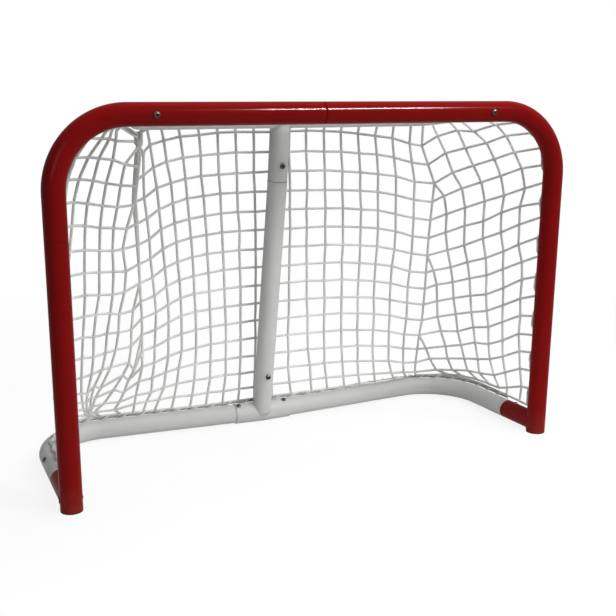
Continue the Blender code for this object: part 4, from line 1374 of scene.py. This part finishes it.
# Right side panel, in the same way. Its rows run on from the rows of the back panel.
RIGHT_POST_HEIGHTS = [574, 555, 528, 498, 466, 430, 404, 368, 332, 294, 258, 219, 183, 149, 113, 78]
RIGHT_COLUMNS = [
    (0, [
        (220, 568), (230, 548), (240, 518), (210, 489), (180, 453), (220, 419),
        (220, 385), (220, 347), (180, 315), (170, 282), (180, 244), (170, 211),
        (180, 174), (160, 140), (140, 106), (110, 72),
    ]),
    (0, [
        (440, 555), (420, 534), (430, 504), (400, 473), (370, 437), (390, 404),
        (390, 366), (360, 330), (360, 295), (350, 258), (350, 223), (350, 189),
        (340, 151), (330, 117), (300, 85), (270, 55),
    ]),
    (0, [
        (570, 556), (620, 523), (630, 490), (580, 459), (550, 423), (560, 384),
        (560, 350), (530, 312), (520, 277), (520, 238), (510, 204), (490, 171),
        (480, 134), (460, 102), (410, 70), (350, 47),
    ]),
    (0, [
        (800, 544), (810, 512), (820, 475), (750, 445), (720, 408), (720, 372),
        (720, 333), (690, 299), (670, 266), (660, 230), (650, 195), (630, 163),
        (610, 129), (580, 93), (560, 62), (450, 46),
    ]),
    (3, [
        (900, 429), (870, 394), (870, 357), (850, 321), (820, 286), (800, 255),
        (790, 221), (770, 187), (750, 149), (720, 118), (690, 87), (660, 60),
        (570, 45),
    ]),
    (7, [
        (950, 278), (920, 248), (910, 213), (900, 179), (870, 147), (830, 111),
        (810, 82), (770, 55), (690, 44),
    ]),
    (12, [(965, 105), (930, 79), (880, 52), (800, 43)]),
]

RIGHT_FEET = (0.12, 0.27)

right_knots = placed_knots(1, RIGHT_COLUMNS)
strands = []
for row, post_height in enumerate(RIGHT_POST_HEIGHTS):
    ends = loose([side_place(1, 0.0, post_height / 1000), back_knots[BACK_COLUMNS - 1, row]])
    strands.append([ends[0]] + knots_in_row(right_knots, row) + [ends[1]])
for number, (first, knots) in enumerate(RIGHT_COLUMNS):
    if first:
        start = (back_knots[BACK_COLUMNS - 1, first - 1], False)
    else:
        start = (side_place(1, knots[0][0] / 1000 - 0.02, 0.588), False)
    rows = range(first, first + len(knots))
    strands.append([start] + [(right_knots[number, row], False) for row in rows])
    if number < len(RIGHT_FEET):
        strands[-1].append((share_of_line(net_base_line(1), RIGHT_FEET[number]), False))
for edge in side_edges[1]:
    strands.append(loose(even_points(edge, EDGE_SPACING)))
net_object("net_right_cord", strands, (0.8, 0.6, 0.0), ["net_right"], 7)

# Top shelf of the net
# The same knotted white cord, nearly level. It is tied to the crossbar in front and to the rear
# run of the top bar behind.

TOP_COLUMNS = 15
TOP_ROWS = 4
TOP_FRONT = ((-0.255, 0.258), 0.0196, BAR_Z - 0.0010)
TOP_REAR = ((-0.232, 0.236), TOP_BAR_REAR[0] - TOP_BAR_RADIUS - 0.0010, TOP_BAR_REAR[1])
TOP_SAG = 0.006


def top_knot(column, row):
    across = column / TOP_COLUMNS
    depth = row / TOP_ROWS
    ends = []
    for (left_x, right_x), y, z in (TOP_FRONT, TOP_REAR):
        ends.append(Vector((left_x + (right_x - left_x) * across, y, z)))
    hollow = TOP_SAG * math.sin(math.pi * depth) * math.sin(math.pi * across)
    return ends[0].lerp(ends[1], depth) - Z_AXIS * hollow


strands = []
for row in range(TOP_ROWS + 1):
    strands.append([(top_knot(column, row), 0 < row < TOP_ROWS) for column in range(TOP_COLUMNS + 1)])
for column in range(TOP_COLUMNS + 1):
    strands.append(loose(top_knot(column, row) for row in range(TOP_ROWS + 1)))
net_object("net_top_cord", strands, (0.0, 0.1, 1.0), ["net_top"], 8)

# Base cord
# A thicker laid cord that carries the net's lower edge along the base tubes and over the tee, with
# a thin lacing cord wound round it and through the edge of the net.

ROPE_RADIUS = 0.0024
ROPE_LEAN = math.radians(57.0)
LACE_RADIUS = 0.0015
ROPE_START_Y = 0.103
ROPE_LEFT_START_X = -0.397
WIND_PITCH = 0.034
CORD_SPACING = 0.006

# The base cord is grey with near-black grooves: painted shade for the deep shadow along the cord where it
# lies on the tubes.
rope_cord_shaded = cord_material("base cord", (0.44, 0.44, 0.43), (0.14, 0.14, 0.13), 3.0, 0.036)
lace_cord = cord_material("lacing cord", (0.70, 0.70, 0.69), (0.55, 0.55, 0.54), 3.0, 0.020)


def rope_place(point, direction, side, radius):
    """On the outer side of a base tube's top."""
    outward = direction.cross(Z_AXIS) * side
    reach = radius + ROPE_RADIUS + LACE_RADIUS
    return point + outward * reach * math.cos(ROPE_LEAN) + Z_AXIS * reach * math.sin(ROPE_LEAN)


rope_points = []
for side, tee_end in ((-1, TEE_LEFT_X), (1, TEE_RIGHT_X)):
    route = base_line(side, ROPE_START_Y, tee_end + side * 0.020)
    if side < 0:
        route = [point for point in route if point.x > ROPE_LEFT_START_X]
    half = []
    for number, point in enumerate(route):
        before, after = route[max(0, number - 1)], route[min(len(route) - 1, number + 1)]
        half.append(rope_place(point, (after - before).normalized(), side, TUBE_RADIUS))
    inwards = (route[-1] - route[-2]).normalized()
    for x in (tee_end + side * 0.003, TEE_X + side * 0.010):
        half.append(rope_place(base_rear_point(side, x), inwards, side, TEE_RADIUS))
    rope_points += half if side < 0 else half[::-1]


def wound_round(points, reach, pitch, per_turn=10):
    """A helix round the line."""
    spacing = pitch / per_turn
    line = even_points(points, spacing)
    made = []
    for number, point in enumerate(line):
        before, after = line[max(0, number - 1)], line[min(len(line) - 1, number + 1)]
        along = (after - before).normalized()
        outward = along.cross(Z_AXIS).normalized()
        upward = outward.cross(along)
        angle = 2 * math.pi * number / per_turn
        made.append(point + on_circle(outward, upward, angle) * reach)
    return made


def cord_object(name, lines, radius, surface, nodes=(), sides=10):
    """Plain cords along the lines."""
    piece = line_object(name, lines)
    use_tree(
        piece, knotted_cord, {"Cord Radius": radius, "Cord Sides": sides, "Cord": surface, "Knot": knot}
    )
    plain_mesh(piece)
    if not nodes:
        return piece
    return fitted(name, [piece], "net_cord", *nodes)


rope_line = even_points(rope_points, CORD_SPACING)
rope = cord_object("base_cord_core", [rope_line], ROPE_RADIUS, rope_cord_shaded)
lacing = cord_object(
    "base_cord_lacing", [wound_round(rope_points, ROPE_RADIUS + LACE_RADIUS * 0.6, WIND_PITCH)],
    LACE_RADIUS, lace_cord, sides=8
)
fitted("base_cord_laid", [rope, lacing], "net_cord", "net_base_rope")

# Cords at the posts and under the crossbar
# Thin white cords that lace the front edge of the net to the backs of the posts and to the
# crossbar. Each runs in shallow waves through the edge knots.

POST_CORD_RADIUS = 0.0018
POST_CORD_START_Z = NET_POST_LOW_Z + 0.004
POST_CORD_END_X = 0.310
CORD_CLEAR = 0.0003
BAR_CORD_CLEAR = 0.0020
BAR_CORD_ENDS_X = (-0.262, 0.266)
BAR_CORD_SLOPE = math.radians(-25.0)

for side in (-1, 1):
    label = side_name(side)
    post_x = side * POST_X
    line = rounded_line(
        [(post_x, 0.0, POST_CORD_START_Z), (post_x, 0.0, BAR_Z), (side * POST_CORD_END_X, 0.0, BAR_Z)],
        CORNER_BEND
    )
    waved = []
    centre = Vector((side * (POST_X - CORNER_BEND), 0.0, BAR_Z - CORNER_BEND))
    for number, point in enumerate(even_points(line, CORD_SPACING)):
        inward = -X_AXIS * side
        if point.z > centre.z:
            inward = (centre - point).normalized() if abs(point.x) > abs(centre.x) else -Z_AXIS
        turn = 0.28 + 0.36 * math.sin(number * 0.52) + 0.10 * math.sin(number * 1.7)
        reach = TUBE_RADIUS + POST_CORD_RADIUS + CORD_CLEAR
        waved.append(point + on_circle(Y_AXIS, inward, turn) * reach)
    cord_object(
        "net_post_cord_laid_" + label, [waved], POST_CORD_RADIUS, net_cord, ["net_post_cord_" + label]
    )

reach = TUBE_RADIUS + BAR_CORD_CLEAR + 2 * GAP
line = []
bar_ends = [Vector((x, 0.0, BAR_Z)) for x in BAR_CORD_ENDS_X]
for number, point in enumerate(even_points(bar_ends, CORD_SPACING)):
    swing = BAR_CORD_SLOPE + 0.12 * math.sin(number * 0.9)
    line.append(point + Vector((0.0, reach * math.cos(swing), reach * math.sin(swing))))
cord_object("net_crossbar_cord_laid", [line], POST_CORD_RADIUS, net_cord, ["net_crossbar_cord"])
bpy.data.objects.remove(knot, do_unlink=True)

# Camera
# Low at the left of the mouth, looking to the right and slightly down, as the photograph does.

camera = new_object("camera", bpy.data.cameras.new("camera"))
camera.matrix_world = (
    Matrix.Translation((-0.7129, -1.4172 + FRONT_Y, 0.6342))
    @ Matrix.Rotation(-0.4357, 4, "Z")
    @ Matrix.Rotation(math.pi / 2 - 0.2566, 4, "X")
    @ Matrix.Rotation(0.005, 4, "Z")
)
camera.data.sensor_width = 36.0
camera.data.lens = 57.61
camera.data.shift_x = 0.0120
camera.data.shift_y = 0.0581
bpy.context.scene.camera = camera

# Floor and light
# A pale seamless floor that keeps the goal's soft shadow, and a white surround. Three soft lamps
# light the goal from above, right and left; a narrow strip is seen only as a streak in the gloss.

FLOOR_SIZE = 6.0


def backdrop_seen(tree):
    """Whether a ray shows the white backdrop, and its strength, which is less in the gloss."""
    rays = tree.nodes.new("ShaderNodeLightPath").outputs
    seen = maths(tree, "MAXIMUM", rays["Is Camera Ray"], rays["Is Glossy Ray"])
    strength = ranged(tree, rays["Is Glossy Ray"], 0.0, 1.0, 1.0, 0.4)
    return maths(tree, "MAXIMUM", seen, rays["Is Transmission Ray"]), strength


def white_floor():
    made = bpy.data.materials.new("pale floor")
    made.use_nodes = True
    tree = made.node_tree
    tree.nodes.clear()
    shown, strength = backdrop_seen(tree)
    glow = node_output(tree, "ShaderNodeEmission", {"Color": (1.0, 1.0, 1.0, 1.0), "Strength": strength})
    pale = node_output(tree, "ShaderNodeBsdfDiffuse", {"Color": (0.94, 0.94, 0.94, 1.0)})
    place = node_output(tree, "ShaderNodeTexCoord", output="Object")
    distance = node_output(tree, "ShaderNodeVectorMath", {0: place}, output="Value", operation="LENGTH")
    plain = node_output(
        tree, "ShaderNodeBsdfDiffuse", {"Color": ranged(tree, distance, 0.60, 1.2, 0.92, 0.10)}
    )
    fade = ranged(tree, distance, 0.7, 1.6, 0.86, 1.0)
    lit = node_output(tree, "ShaderNodeMixShader", {0: fade, 1: pale, 2: glow})
    both = node_output(tree, "ShaderNodeMixShader", {0: shown, 1: plain, 2: lit})
    add_node(tree, "ShaderNodeOutputMaterial", {"Surface": both})
    return made


floor_mesh = bpy.data.meshes.new("floor")
half = FLOOR_SIZE / 2
corners = [(-half, -half, 0), (half, -half, 0), (half, half, 0), (-half, half, 0)]
floor_mesh.from_pydata(corners, [], [(0, 1, 2, 3)])
floor_mesh.materials.append(white_floor())
new_object("floor", floor_mesh)

world = bpy.data.worlds.new("white surround")
world.use_nodes = True
bpy.context.scene.world = world
tree = world.node_tree
tree.nodes.clear()
shown, strength = backdrop_seen(tree)
backdrop = node_output(tree, "ShaderNodeBackground", {"Color": (1.0, 1.0, 1.0, 1.0), "Strength": strength})
daylight = node_output(tree, "ShaderNodeBackground", {"Color": (1.0, 1.0, 1.0, 1.0), "Strength": 0.22})
mixed = node_output(tree, "ShaderNodeMixShader", {0: shown, 1: daylight, 2: backdrop})
add_node(tree, "ShaderNodeOutputWorld", {"Surface": mixed})


def soft_lamp(name, place, target, width, height, power, diffuse=True, glossy=True):
    lamp = bpy.data.lights.new(name, "AREA")
    lamp.shape = "RECTANGLE"
    lamp.size = width
    lamp.size_y = height
    lamp.energy = power
    made = new_object(name, lamp)
    made.location = place
    made.rotation_euler = (Vector(target) - Vector(place)).to_track_quat("-Z", "Y").to_euler()
    made.visible_diffuse = diffuse
    made.visible_glossy = glossy


soft_lamp("lamp_above", (0.5, 0.2, 2.6), (0.0, 0.0, 0.3), 1.2, 1.2, 40.0, glossy=False)
soft_lamp("lamp_right", (1.3, -2.0, 2.1), (0.0, 0.0, 0.3), 1.5, 1.1, 66.0, glossy=False)
soft_lamp("lamp_strip", (1.36, -2.0, 2.3), (0.0, 0.0, 0.4), 0.8, 0.13, 220.0, diffuse=False)
soft_lamp("lamp_left", (-1.8, -2.0, 1.2), (0.0, 0.0, 0.3), 1.0, 1.0, 6.0)

bpy.context.scene.view_settings.view_transform = "Standard"
